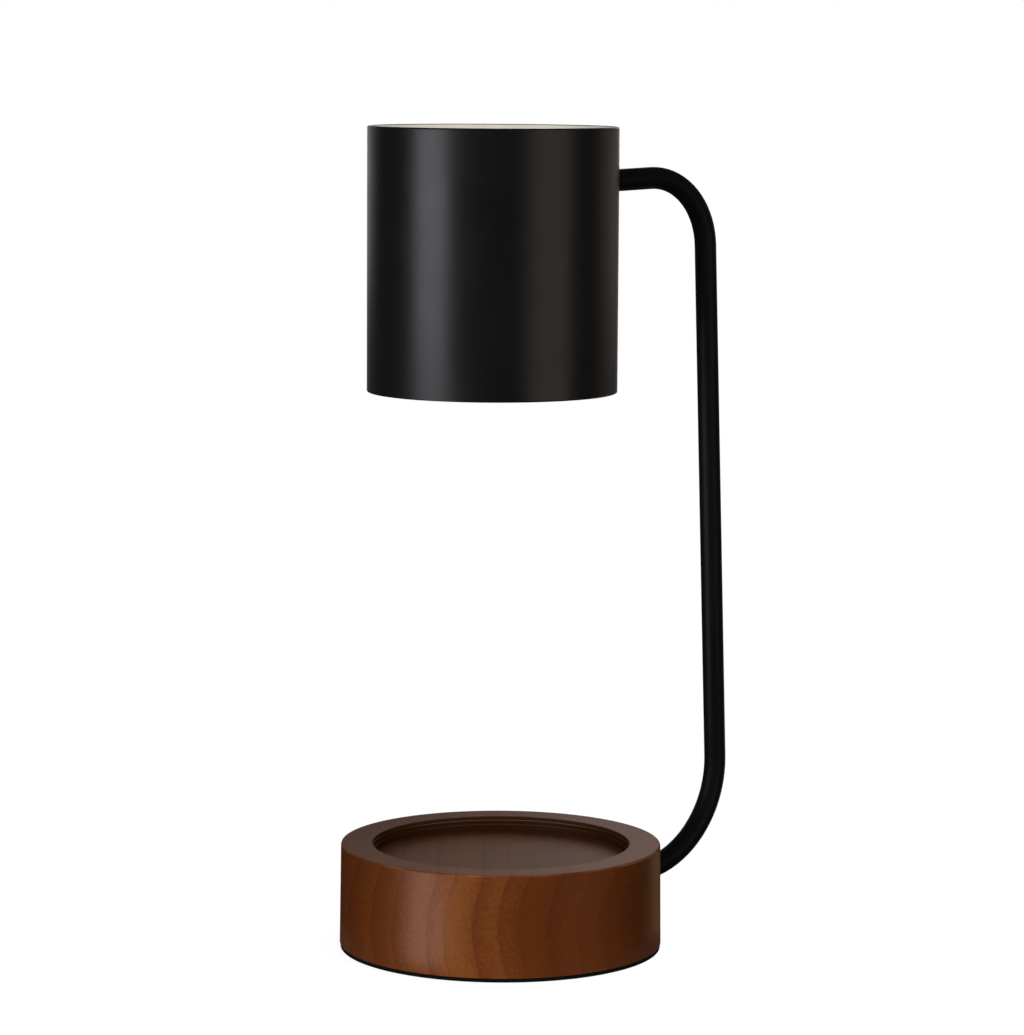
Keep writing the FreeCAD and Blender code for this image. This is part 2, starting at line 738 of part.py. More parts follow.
def drum_shade():
    """Thin spun drum, open at both ends."""
    drum = turned("shade_drum", [
        ("shade_inner", "shade_bottom"), ("shade_radius", "shade_bottom"),
        ("shade_radius", "shade_top"), ("shade_inner", "shade_top"),
    ], rounds=[
        (radius, height, size)
        for radius, size in (("shade_inner", "shade_lip_round"), ("shade_radius", "shade_edge_round"))
        for height in ("shade_bottom", "shade_top")
    ])
    place(drum, "shade_centre")
    return part("shade", cut("shade_drilled", drum, end_hole("shade_hole", "washer_bore_radius")))


def arm_shade_hardware():
    """Saddle washers on both sides of the wall, then lock washer and nut inside."""
    outer_block = on_arm_end(ring("outer_saddle_block", "saddle_radius", "washer_bore_radius",
                                  "2 * outer_saddle_thickness"), "-outer_saddle_thickness")
    part("outer_saddle_washer",
         cut("outer_saddle", outer_block, shade_cylinder("outer_trim", "shade_radius")))
    inner_block = on_arm_end(ring("inner_saddle_block", "saddle_radius", "washer_bore_radius",
                                  "saddle_flat"), "0")
    part("inner_saddle_washer",
         common("inner_saddle", inner_block, shade_cylinder("inner_trim", "flange_inner")))
    lock = toothed_ring("high_lock_washer", "saddle_radius", "washer_bore_radius",
                        "lock_washer_thickness")
    part("arm_shade_lock_washer", on_arm_end(lock, "saddle_flat"))
    nut = hex_nut("high_nut", "nut_corner_radius", "nut_thickness", "thread_radius")
    part("arm_shade_nut", on_arm_end(nut, "high_nut_seat"))


def holder_screw_pair():
    """Two long screws down through the bracket and the lamp holder, and their nuts."""
    screws, nuts = [], []
    for side in (-1, 1):
        x = f"shade_centre + holder_screw_offset * {side}"
        screw = machine_screw(f"holder_screw_{side + 1}", "holder_screw_radius",
                              "bracket_top - holder_nut_bottom", "holder_screw_head_radius",
                              "holder_screw_head_height")
        screws.append(place(screw, x, "0", "bracket_top"))
        nut = hex_nut(f"holder_nut_{side + 1}", "holder_nut_corner_radius", "holder_nut_thickness",
                      "holder_screw_radius")
        nuts.append(place(nut, x, "0", "holder_nut_bottom"))
    return (part("lampholder_screws", group("holder_screw_set", *screws)),
            part("lampholder_nuts", group("holder_nut_set", *nuts)))


def eased_bend(name, strip):
    """The strip with the inside and outside of its bend rounded, as a press brake leaves them."""
    doc.recompute()
    bends = [("flange_inner", "bracket_underside", "bracket_bend"),
             ("shade_inner", "bracket_top", "bracket_bend + bracket_thickness")]
    rounded = doc.addObject("Part::Fillet", name)
    rounded.Base = strip
    rounded.Edges = [(int(edge.removeprefix("Edge")), value(size), value(size))
                     for radius, height, size in bends
                     for edge in edges_round(strip, value(radius), value(height))]
    return rounded


def holder_bracket(screws):
    """Bent steel strip: a curved foot on the shade wall and a shelf over the lamp holder."""
    foot_height = "bracket_top - bracket_foot"
    foot = primitive("Box", "bracket_foot_block", Length="shade_radius", Width="2 * bracket_half_width",
                     Height=foot_height)
    place(foot, "shade_centre", "-bracket_half_width", "bracket_foot")
    curved = cut("bracket_curved_foot", foot, shade_cylinder("bracket_inside", "flange_inner"))
    shelf_start = "shade_centre - bracket_reach + bracket_half_width"
    shelf = primitive("Box", "bracket_shelf", Length="shade_radius + bracket_reach - bracket_half_width",
                      Width="2 * bracket_half_width", Height="bracket_thickness")
    place(shelf, shelf_start, "-bracket_half_width", "bracket_underside")
    rounded_end = place(cylinder("bracket_end", "bracket_half_width", "bracket_thickness"),
                        shelf_start, z="bracket_underside")
    strip = common("bracket_trimmed", fuse("bracket_joined", curved, shelf, rounded_end),
                   shade_cylinder("bracket_outside", "shade_inner"))
    blank = eased_bend("bracket_blank", strip)
    vent = place(cylinder("bracket_vent", "bracket_hole_radius", "bracket_top"), "shade_centre")
    return part("holder_bracket", cut("bracket_drilled", blank, vent, screws,
                                      end_hole("bracket_hole", "washer_bore_radius")))


def arc_slot(name, radius, bottom, height):
    """Twin slots that the bulb's pins sweep, from the rest angle to the release angle."""
    slots = []
    for side in (0, 180):
        outer = cylinder(f"{name}_outer_{side}", f"pin_offset + {radius}", height)
        outer.setExpression("Angle", cells("bulb_turn"))
        sector = cut(f"{name}_sector_{side}", outer,
                     cylinder(f"{name}_inner_{side}", f"pin_offset - {radius}", height))
        place(sector, z=bottom, angle="90 - bulb_turn")
        ends = [place(cylinder(f"{name}_end_{side}_{end}", radius, height),
                      f"pin_offset * cos(({angle}) * 1deg)",
                      f"pin_offset * sin(({angle}) * 1deg)", bottom)
                for end, angle in enumerate(("90", "90 - bulb_turn"))]
        slots.append(place(fuse(f"{name}_slot_{side}", sector, *ends), "shade_centre", angle=f"{side}"))
    return slots


def entry_holes():
    """Round openings that let the pin heads into the keyholes."""
    return [place(cylinder(f"entry_{side + 1}", "entry_radius", "channel_top"),
                  f"shade_centre + {side} * pin_offset * cos((90 - bulb_turn) * 1deg)",
                  f"{side} * pin_offset * sin((90 - bulb_turn) * 1deg)") for side in (-1, 1)]


def holder_contacts():
    """Two bent copper strips: a pad above each pin head and a tail up to the wire."""
    strips = []
    for side in (-1, 1):
        pad = primitive("Box", f"contact_pad_{side + 1}", Length="2 * contact_half_length",
                        Width="2 * contact_half_width", Height="contact_thickness")
        place(pad, "shade_centre - contact_half_length", f"{side} * pin_offset - contact_half_width",
              "channel_top - contact_thickness")
        tail = primitive("Box", f"contact_tail_{side + 1}", Length="2 * contact_tail_half_width",
                         Width="2 * contact_tail_half_thickness",
                         Height="contact_tail_top - channel_top")
        place(tail, "shade_centre - contact_tail_half_width",
              f"{side} * pin_offset - contact_tail_half_thickness", "channel_top")
        strips.append(fuse(f"contact_{side + 1}", pad, tail))
    return part("lampholder_contacts", group("contact_set", *strips))


def lamp_holder(screws, nuts, contacts, wires):
    """Ceramic puck in two halves, clamped together by the two long screws."""
    lower = turned("holder_lower", [
        ("0", "holder_underside"), ("holder_radius", "holder_underside"),
        ("holder_radius", "holder_split"), ("0", "holder_split"),
    ], rounds=[("holder_radius", "holder_underside", "holder_edge_round")])
    place(lower, "shade_centre")
    neck_slots = arc_slot("neck", "neck_slot_radius", "0", "channel_top")
    channels = arc_slot("channel", "channel_radius", "channel_bottom", "channel_height")
    pockets = [place(primitive("Prism", f"nut_pocket_{side + 1}",
                               Circumradius="holder_nut_corner_radius",
                               Height="holder_nut_thickness + holder_nut_recess"),
                     f"shade_centre + holder_screw_offset * {side}", "0", "holder_underside")
               for side in (-1, 1)]
    for pocket in pockets:
        pocket.Polygon = 6
    part("lampholder_body", cut("holder_lower_drilled", lower, *neck_slots, *channels, *entry_holes(),
                                *pockets, screws, contacts))
    upper = turned("holder_upper", [
        ("0", "holder_split"), ("holder_radius", "holder_split"),
        ("holder_radius", "bracket_underside"), ("0", "bracket_underside"),
    ], rounds=[("holder_radius", "bracket_underside", "holder_edge_round")])
    place(upper, "shade_centre")
    part("lampholder_cover", cut("holder_upper_drilled", upper, screws, contacts, *wires))


# ---- wires ----------------------------------------------------------------------------------

def rounded_route(spots, radii):
    """Straight runs through the spots, joined by tangent arcs of the given radii."""
    edges, start = [], spots[0]
    for before, corner, after, radius in zip(spots, spots[1:], spots[2:], radii):
        back, ahead = (before - corner).normalize(), (after - corner).normalize()
        half_angle = back.getAngle(ahead) / 2
        inward = (back + ahead).normalize()
        first = corner + back * (radius / math.tan(half_angle))
        last = corner + ahead * (radius / math.tan(half_angle))
        middle = corner + inward * (radius / math.sin(half_angle) - radius)
        edges += [Part.LineSegment(start, first).toShape(), Part.Arc(first, middle, last).toShape()]
        start = last
    edges.append(Part.LineSegment(start, spots[-1]).toShape())
    return Part.Wire(edges)


def wire(label, spots, radii):
    """A round wire along a route, kept as a plain shape because its route isn't flat."""
    route = rounded_route(spots, radii)
    heading = (spots[1] - spots[0]).normalize()
    section = Part.Wire(Part.Circle(spots[0], heading, value("wire_radius")).toShape())
    lead = doc.addObject("Part::Feature", label)
    lead.Shape = route.makePipeShell([section], True, False)
    lead.Placement = FreeCAD.Placement()
    area = math.pi * value("wire_radius") ** 2
    print(f"{label} volume / (section x length): {lead.Shape.Volume / area / route.Length:.5f}")
    return part(label, lead)


def lead_through_arm(label, side, pole):
    """Wire from a terminal through the arm to its contact in the lamp holder."""
    offset = f"{side} * wire_offset"
    slope_x, slope_z = "cos(arm_slope * 1deg)", "sin(arm_slope * 1deg)"
    past_end = "high_thread_reach + arm_end_stub"
    spots = [
        point("block_depth / 2", pole, "insert_axis"),
        point("block_depth / 2 + terminal_stub", pole, "insert_axis"),
        point("low_thread_end - arm_end_stub", offset, "arm_low"),
        point("arm_low_corner", offset, "arm_low"),
        point("arm_high_corner_x", offset, "arm_high_corner"),
        point(f"shade_right - ({past_end}) * {slope_x}", offset,
              f"arm_wall_height - ({past_end}) * {slope_z}"),
        point("shade_centre + holder_radius + holder_stub", f"{side} * pin_offset", "holder_wire_height"),
        point("shade_centre + contact_tail_half_width", f"{side} * pin_offset", "holder_wire_height"),
    ]
    bend = value("wire_bend")
    return wire(label, spots, [bend, bend, value("arm_low_bend"), value("arm_high_bend"), bend, bend])


def earth_lead():
    """Wire from the earth terminal to the tag on the arm's lower thread."""
    tag_end, tag_middle = "low_nut_seat - tag_reach / 2", "-tag_reach + tag_thickness / 2"
    spots = [
        point("block_depth / 2", "-pole_pitch", "insert_axis"),
        point("block_depth / 2 + terminal_stub", "-pole_pitch", "insert_axis"),
        point(f"{tag_end} - terminal_stub", tag_middle, "arm_low"),
        point(tag_end, tag_middle, "arm_low"),
    ]
    return wire("earth_wire", spots, [value("wire_bend")] * 2)


# ---- bulb -----------------------------------------------------------------------------------

def bulb_pins():
    """Two pins with round heads, held in the ceramic base."""
    pins = []
    for side in (-1, 1):
        neck = place(cylinder(f"pin_neck_{side + 1}", "pin_neck_radius", "pin_head_bottom - pin_root"),
                     z="pin_root")
        head = place(cylinder(f"pin_head_{side + 1}", "pin_head_radius", "pin_head_height"),
                     z="pin_head_bottom")
        pins.append(place(fuse(f"pin_{side + 1}", neck, head), "shade_centre", f"{side} * pin_offset"))
    return part("bulb_pins", group("pin_set", *pins))


def bulb_base(pins):
    """Ceramic base with a socket for the capsule."""
    block = turned("bulb_base_block", [
        ("bulb_socket_radius", "bulb_neck_bottom"),
        ("bulb_neck_radius", "bulb_neck_bottom"),
        ("bulb_neck_radius", "bulb_neck_top"),
        ("bulb_base_radius", "bulb_shoulder"),
        ("bulb_base_radius", "bulb_top"),
        ("0", "bulb_top"),
        ("0", "bulb_socket_top"),
        ("bulb_socket_radius", "bulb_socket_top"),
    ], rounds=[("bulb_base_radius", "bulb_top", "holder_edge_round")])
    place(block, "shade_centre")
    return part("bulb_base", cut("bulb_base_drilled", block, pins))


def reflector_radius(height):
    """Outer radius of the parabolic reflector at a height, as a formula."""
    return f"sqrt(reflector_parameter * (reflector_vertex - ({height})))"


def bulb_reflector():
    """Parabolic glass shell, cemented to the ceramic neck, with a rim that holds the front glass."""
    top, bottom = "bulb_neck_bottom", "reflector_rim_top"
    middle = f"({top} + {bottom}) / 2"
    inner_top = f"{reflector_radius(top)} - reflector_wall"
    shell = turned("reflector_shell", [
        (reflector_radius(top), "bulb_neck_top"),
        (reflector_radius(top), top, reflector_radius(middle), middle),
        (reflector_radius(bottom), bottom),
        ("reflector_rim_radius", bottom),
        ("reflector_rim_radius", "reflector_rim_bottom"),
        ("lens_radius", "reflector_rim_bottom"),
        ("lens_radius", "reflector_rim_top"),
        (f"{reflector_radius(bottom)} - reflector_wall", bottom,
         f"{reflector_radius(middle)} - reflector_wall", middle),
        (inner_top, top),
        ("bulb_neck_radius", top),
        ("bulb_neck_radius", "bulb_neck_top"),
    ], rounds=[("reflector_rim_radius", "reflector_rim_top", "reflector_wall / 2"),
               ("reflector_rim_radius", "reflector_rim_bottom", "reflector_wall / 3")])
    return part("bulb_reflector", place(shell, "shade_centre"))


def bulb_lens():
    """Front glass, a disc with a softened edge."""
    disc = turned("lens_disc", [
        ("0", "lens_bottom"), ("lens_radius", "lens_bottom"),
        ("lens_radius", "reflector_rim_top"), ("0", "reflector_rim_top"),
    ], rounds=[("lens_radius", "lens_bottom", "reflector_wall / 3")])
    return part("bulb_lens", place(disc, "shade_centre"))


def bulb_capsule():
    """Quartz tube with a round tip, open where it enters the ceramic base."""
    diagonal = math.sqrt(0.5)
    outer_spring = "capsule_tip + capsule_radius"
    shell = turned("capsule_shell", [
        ("0", "capsule_tip", f"capsule_radius * {diagonal:.6f}",
         f"{outer_spring} - capsule_radius * {diagonal:.6f}"),
        ("capsule_radius", outer_spring),
        ("capsule_radius", "bulb_socket_top"),
        ("capsule_bore", "bulb_socket_top"),
        ("capsule_bore", outer_spring, f"capsule_bore * {diagonal:.6f}",
         f"{outer_spring} - capsule_bore * {diagonal:.6f}"),
        ("0", "capsule_tip + capsule_wall"),
    ])
    return part("bulb_capsule", place(shell, "shade_centre"))


def bulb_filament():
    """Coiled filament across the capsule and the two wires that hold it."""
    span = "2 * (lead_offset - lead_radius)"
    coil = along_x(cylinder("filament_coil", "filament_radius", span),
                   "shade_centre - lead_offset + lead_radius", z="filament_height")
    part("bulb_filament", coil)
    leads = [place(cylinder(f"lead_{side + 1}", "lead_radius", "bulb_socket_top - filament_height"),
                   f"shade_centre + {side} * lead_offset", z="filament_height") for side in (-1, 1)]
    part("bulb_leads", group("lead_set", *leads))


# ---- assembly -------------------------------------------------------------------------------

plate_screws = screw_ring()
weight_screws = weight_screw_pair()
wooden_base(plate_screws)
base_pad()
bottom_plate(plate_screws, weight_screws)
fixing_screw = block_fixing_screw()
counterweight(weight_screws, fixing_screw)
set_screw()
cord_gland()
arm_base_hardware()
terminal_block(fixing_screw)
arm_tube()
drum_shade()
arm_shade_hardware()
holder_screws, holder_nuts = holder_screw_pair()
holder_bracket(holder_screws)
poles = pole_positions()
live_wire = lead_through_arm("live_wire", 1, poles[0])
neutral_wire = lead_through_arm("neutral_wire", -1, poles[1])
earth_lead()
lamp_holder(holder_screws, holder_nuts, holder_contacts(), [live_wire, neutral_wire])
bulb_base(bulb_pins())
bulb_reflector()
bulb_lens()
bulb_capsule()
bulb_filament()
doc.recompute()

for item in doc.Objects:
    if {"Invalid", "Error"} & set(item.State):
        raise RuntimeError(f"{item.Name} failed: {item.State}")
for item in parts:
    if item.Shape.isNull() or not item.Shape.isValid() or not item.Shape.Solids:
        raise RuntimeError(f"{item.Label} has no valid solid")

os.makedirs("parts", exist_ok=True)
for item in parts:
    item.Shape.exportStep(f"parts/{item.Label}.step")
print(f"{len(parts)} sub-parts written")
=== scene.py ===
import math

import bpy
from mathutils import Matrix, Vector


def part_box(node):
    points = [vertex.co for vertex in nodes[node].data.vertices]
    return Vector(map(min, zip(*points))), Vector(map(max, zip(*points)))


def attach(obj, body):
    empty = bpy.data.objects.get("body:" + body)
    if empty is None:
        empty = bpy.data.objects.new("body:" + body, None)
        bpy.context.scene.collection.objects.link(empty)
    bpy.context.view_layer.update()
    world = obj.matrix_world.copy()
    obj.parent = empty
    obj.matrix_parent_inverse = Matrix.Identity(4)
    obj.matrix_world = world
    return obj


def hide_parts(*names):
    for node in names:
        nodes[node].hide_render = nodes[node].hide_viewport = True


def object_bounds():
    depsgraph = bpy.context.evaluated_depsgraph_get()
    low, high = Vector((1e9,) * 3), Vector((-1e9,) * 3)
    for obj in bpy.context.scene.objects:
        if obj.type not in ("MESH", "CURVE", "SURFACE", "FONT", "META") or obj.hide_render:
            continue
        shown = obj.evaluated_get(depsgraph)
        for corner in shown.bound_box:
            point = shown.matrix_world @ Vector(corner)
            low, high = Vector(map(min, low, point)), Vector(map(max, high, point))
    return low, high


# Looks of a candle warmer lamp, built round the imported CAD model. Metres, in the CAD frame: +Z up,
# the arm towards +X, the cord's gland towards +Y. Colours are linear, from 0 to 1.

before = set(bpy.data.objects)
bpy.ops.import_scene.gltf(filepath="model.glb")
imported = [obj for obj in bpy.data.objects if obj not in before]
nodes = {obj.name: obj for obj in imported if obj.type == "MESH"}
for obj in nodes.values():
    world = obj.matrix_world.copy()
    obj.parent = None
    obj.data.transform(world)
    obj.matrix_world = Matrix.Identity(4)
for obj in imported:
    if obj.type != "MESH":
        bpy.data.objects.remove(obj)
cad_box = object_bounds()

shade_low, shade_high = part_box("shade")
shade_centre = (shade_low + shade_high) / 2
shade_radius = (shade_high.x - shade_low.x) / 2
base_low, base_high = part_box("wood_base")
object_centre = (cad_box[0] + cad_box[1]) / 2


def add_object(name, data):
    """A new object in the scene."""
    thing = bpy.data.objects.new(name, data)
    bpy.context.scene.collection.objects.link(thing)
    return thing


# ---- camera ---------------------------------------------------------------------------------

# Fitted to the photograph. The azimuth turns the view about +Z from looking along +Y, and the roll
# turns it about its own line of sight. Angles are in degrees.
CAMERA_PLACE = (-0.9580, -1.1664, 0.3586)
CAMERA_AZIMUTH = -39.54
CAMERA_TILT_DOWN = 6.96
CAMERA_ROLL = 0.35
LENS_MM = 132.17
SENSOR_MM = 36.0


def turn(degrees, axis):
    """A rotation as a 4 x 4 matrix."""
    return Matrix.Rotation(math.radians(degrees), 4, axis)


def make_camera():
    """The photograph's view: a long lens 1.5 m away, just higher than the lamp, tilted a little
    down."""
    data = bpy.data.cameras.new("camera")
    data.sensor_width = SENSOR_MM
    data.lens = LENS_MM
    camera = add_object("camera", data)
    look = turn(CAMERA_AZIMUTH, "Z") @ turn(90 - CAMERA_TILT_DOWN, "X") @ turn(CAMERA_ROLL, "Z")
    camera.matrix_world = Matrix.Translation(CAMERA_PLACE) @ look
    bpy.context.scene.camera = camera


# ---- material nodes -------------------------------------------------------------------------

# The Mix node's sockets for colours, whose names it also uses for numbers and vectors.
MIX_FACTOR, MIX_FIRST, MIX_SECOND = 0, 6, 7
MIX_RESULT = 2
# Most of a noise's values lie between these.
NOISE_RANGE = (0.3, 0.7)


class Nodes:
    """Short calls for the nodes of one material or of the world."""

    def __init__(self, tree):
        self.tree = tree

    def add(self, kind, inputs=None, **settings):
        """A node of that kind with its settings, and its inputs set or linked."""
        node = self.tree.nodes.new(f"ShaderNode{kind}")
        for name, value in settings.items():
            setattr(node, name, value)
        for name, value in (inputs or {}).items():
            self.feed(node.inputs[name], value)
        return node

    def feed(self, socket, value):
        """Link another node's output to the socket, or set the socket to a plain value."""
        if isinstance(value, bpy.types.NodeSocket):
            self.tree.links.new(value, socket)
        else:
            socket.default_value = value

    def math(self, operation, first, second=0.0, third=0.0):
        """Arithmetic on numbers."""
        node = self.add("Math", {0: first, 1: second, 2: third}, operation=operation)
        return node.outputs[0]

    def both(self, first, second):
        """A mask that holds where both masks hold."""
        return self.math("MULTIPLY", first, second)

    def either(self, first, second):
        """A mask that holds where one mask holds or both do."""
        return self.math("MAXIMUM", first, second)

    def vector(self, operation, first, second=(0.0, 0.0, 0.0)):
        """Arithmetic on vectors."""
        node = self.add("VectorMath", {0: first, 1: second}, operation=operation)
        return node.outputs["Value" if operation in ("LENGTH", "DOT_PRODUCT") else "Vector"]

    def stretched(self, place, scale):
        """The place with each axis scaled."""
        return self.vector("MULTIPLY", place, scale)

    def off_axis(self, place):
        """The place's distance from the Z axis."""
        return self.vector("LENGTH", self.stretched(place, (1.0, 1.0, 0.0)))

    def part(self, vector, axis):
        """The vector's X, Y or Z."""
        return self.add("SeparateXYZ", {0: vector}).outputs[axis]

    def mix(self, factor, first, second):
        """Two colours mixed by a factor."""
        inputs = {MIX_FACTOR: factor, MIX_FIRST: first, MIX_SECOND: second}
        return self.add("Mix", inputs, data_type="RGBA").outputs[MIX_RESULT]

    def span(self, value, low, high, start=0.0, end=1.0):
        """The value's place between low and high, clamped, as a number from start to end."""
        node = self.add("MapRange", {0: value, 1: low, 2: high, 3: start, 4: end})
        return node.outputs[0]

    def spread(self, noise, start, end):
        """A noise's usual range as a number from start to end."""
        return self.span(noise, *NOISE_RANGE, start, end)

    def noise(self, place, scale, detail=2.0, roughness=0.5, dimensions="3D"):
        """Smooth noise with that many periods to the metre."""
        inputs = {"Scale": scale, "Detail": detail, "Roughness": roughness}
        inputs["W" if dimensions == "1D" else "Vector"] = place
        return self.add("TexNoise", inputs, noise_dimensions=dimensions).outputs["Fac"]

    def ramp(self, factor, stops):
        """A colour ramp through (position, colour) stops."""
        node = self.add("ValToRGB", {0: factor})
        elements = node.color_ramp.elements
        elements[0].position, elements[-1].position = stops[0][0], stops[-1][0]
        for position, _ in stops[1:-1]:
            elements.new(position)
        for element, (_, colour) in zip(elements, stops):
            element.color = rgb(*colour)
        return node.outputs[0]


class Finish(Nodes):
    """One material on a Principled shader."""

    def __init__(self, name, values):
        self.material = bpy.data.materials.new(name)
        self.material.use_nodes = True
        super().__init__(self.material.node_tree)
        self.shader = self.tree.nodes["Principled BSDF"]
        self.set(values)
        self.place = self.add("TexCoord").outputs["Object"]
        self.bumps = None

    def set(self, values):
        """Set or link the shader's own sockets."""
        for name, value in values.items():
            self.feed(self.shader.inputs[name], value)

    def linked(self, name):
        """What the shader's socket is linked to."""
        return self.shader.inputs[name].links[0].from_socket

    def bump(self, height, distance):
        """Raise the surface by a height from 0 to 1 over that distance; calls stack."""
        inputs = {"Height": height, "Distance": distance}
        if self.bumps is not None:
            inputs["Normal"] = self.bumps
        self.bumps = self.add("Bump", inputs).outputs["Normal"]
        self.set({"Normal": self.bumps})


def grey(level):
    return (level, level, level, 1.0)


def rgb(red, green, blue):
    return (red, green, blue, 1.0)


def dress(finish, *names):
    """Give the named CAD nodes a finish."""
    for name in names:
        for material_slot in nodes[name].material_slots:
            material_slot.material = finish.material


# ---- wood -----------------------------------------------------------------------------------

# The plank: its grain's heading in degrees from +Y towards +X, and its pith, which lies beyond the
# base's right side in the photograph. The rings are wider than they are high by RING_SQUEEZE. They
# stray from an even curve over long stretches by RING_DRIFT and over short ones by RING_WOBBLE, and
# YEARS_ASTRAY makes the years differ in width.
GRAIN_HEADING = 39.5
PITH_ACROSS, PITH_HEIGHT = 0.107, 0.018
RING_SQUEEZE = 1.4
RING_WIDTH = 0.0098
RING_DRIFT, RING_WOBBLE = 0.006, 0.0008
YEARS_ASTRAY = 1.2
LATE_WOOD_SHARPNESS = 2.6

# Tones go from 0, dark, to 1, pale. The heartwood fades out between two distances from the pith,
# and a pale band lies further out. The late wood's tone is given in the heartwood and outside it.
HEARTWOOD = (0.060, 0.115)
HEARTWOOD_TONE = -0.16
LATE_WOOD_TONES = (-0.04, -0.14)
BROAD_TONES = (0.40, 0.56)
PALE_BAND_RADIUS, PALE_BAND_REACH = 0.131, 0.030
PALE_BAND_TONE = 0.26
FIBRE_TONE, PORE_TONE = 0.07, 0.04
PORE_RANGE = (0.35, 0.65)
WALNUT_TONES = (
    (0.0, (0.040, 0.0085, 0.0015)),
    (0.5, (0.096, 0.0230, 0.0036)),
    (1.0, (0.200, 0.0620, 0.0120)),
)

# Faces, told by the upward part of their normal: where a face comes to count as level, and where it
# begins and ceases to count as the slope of a rounded edge.
LEVEL_FACE = (0.6, 0.95)
SLOPE_BEGINS, SLOPE_ENDS = (0.2, 0.45), (0.75, 0.92)

# Places on the turned base. The wall's foot is a depth below the rim. END_GRAIN is the part of the
# way out from the axis that lies along the grain, where side grain ends and end grain begins.
RECESS_RIM = 0.0522
WALL_FOOT_DEPTH = 0.0050
EDGE_WEAR_AND_HIGHLIGHT_RADIUS = 0.0635
END_GRAIN = (0.60, 0.82)

# The stain's colour, a paler one painted on the ring towards the front as painted light, and how
# much of the wood's they hide. The outer edge has pale patches, partly wear and partly a painted
# highlight, where a noise rises between two values, and they show at most a given share of that
# pale wood.
STAIN, PAINTED_LIGHT_STAIN = (0.052, 0.022, 0.009), (0.084, 0.040, 0.022)
STAIN_COVER = 0.7
WEAR_AND_HIGHLIGHT_WOOD = (0.30, 0.155, 0.075)
WEAR_AND_HIGHLIGHT_PATCHES = (0.45, 0.65)
MOST_WEAR_AND_HIGHLIGHT = 0.4

# Painted shade in the recess, in a dark colour: on the floor it deepens between two distances from
# the axis, towards the wall, and on the wall it fades in below the rim over one depth in side grain
# and another in end grain.
RECESS_SHADE_COLOUR = (0.026, 0.0082, 0.0026)
FLOOR_SHADE_REACH = (0.037, 0.050)
FLOOR_SHADE_COVER = 0.75
WALL_SHADE_FADE = (0.0020, 0.0009)

# Each ledge's depth below the rim, and how strong a pale line it gets: a painted highlight for the
# light caught on the ledge's edge. The line fades out towards a height below the ledge, given next.
LEDGES = ((0.0014, 0.55), (0.0031, 0.15))
LEDGE_HIGHLIGHT_HEIGHT = 0.0003
LEDGE_HIGHLIGHT_COLOUR = (0.16, 0.085, 0.05)

LACQUER_ROUGHNESS = (0.5, 0.6)
ROUGHER_ON_TOP = 0.1


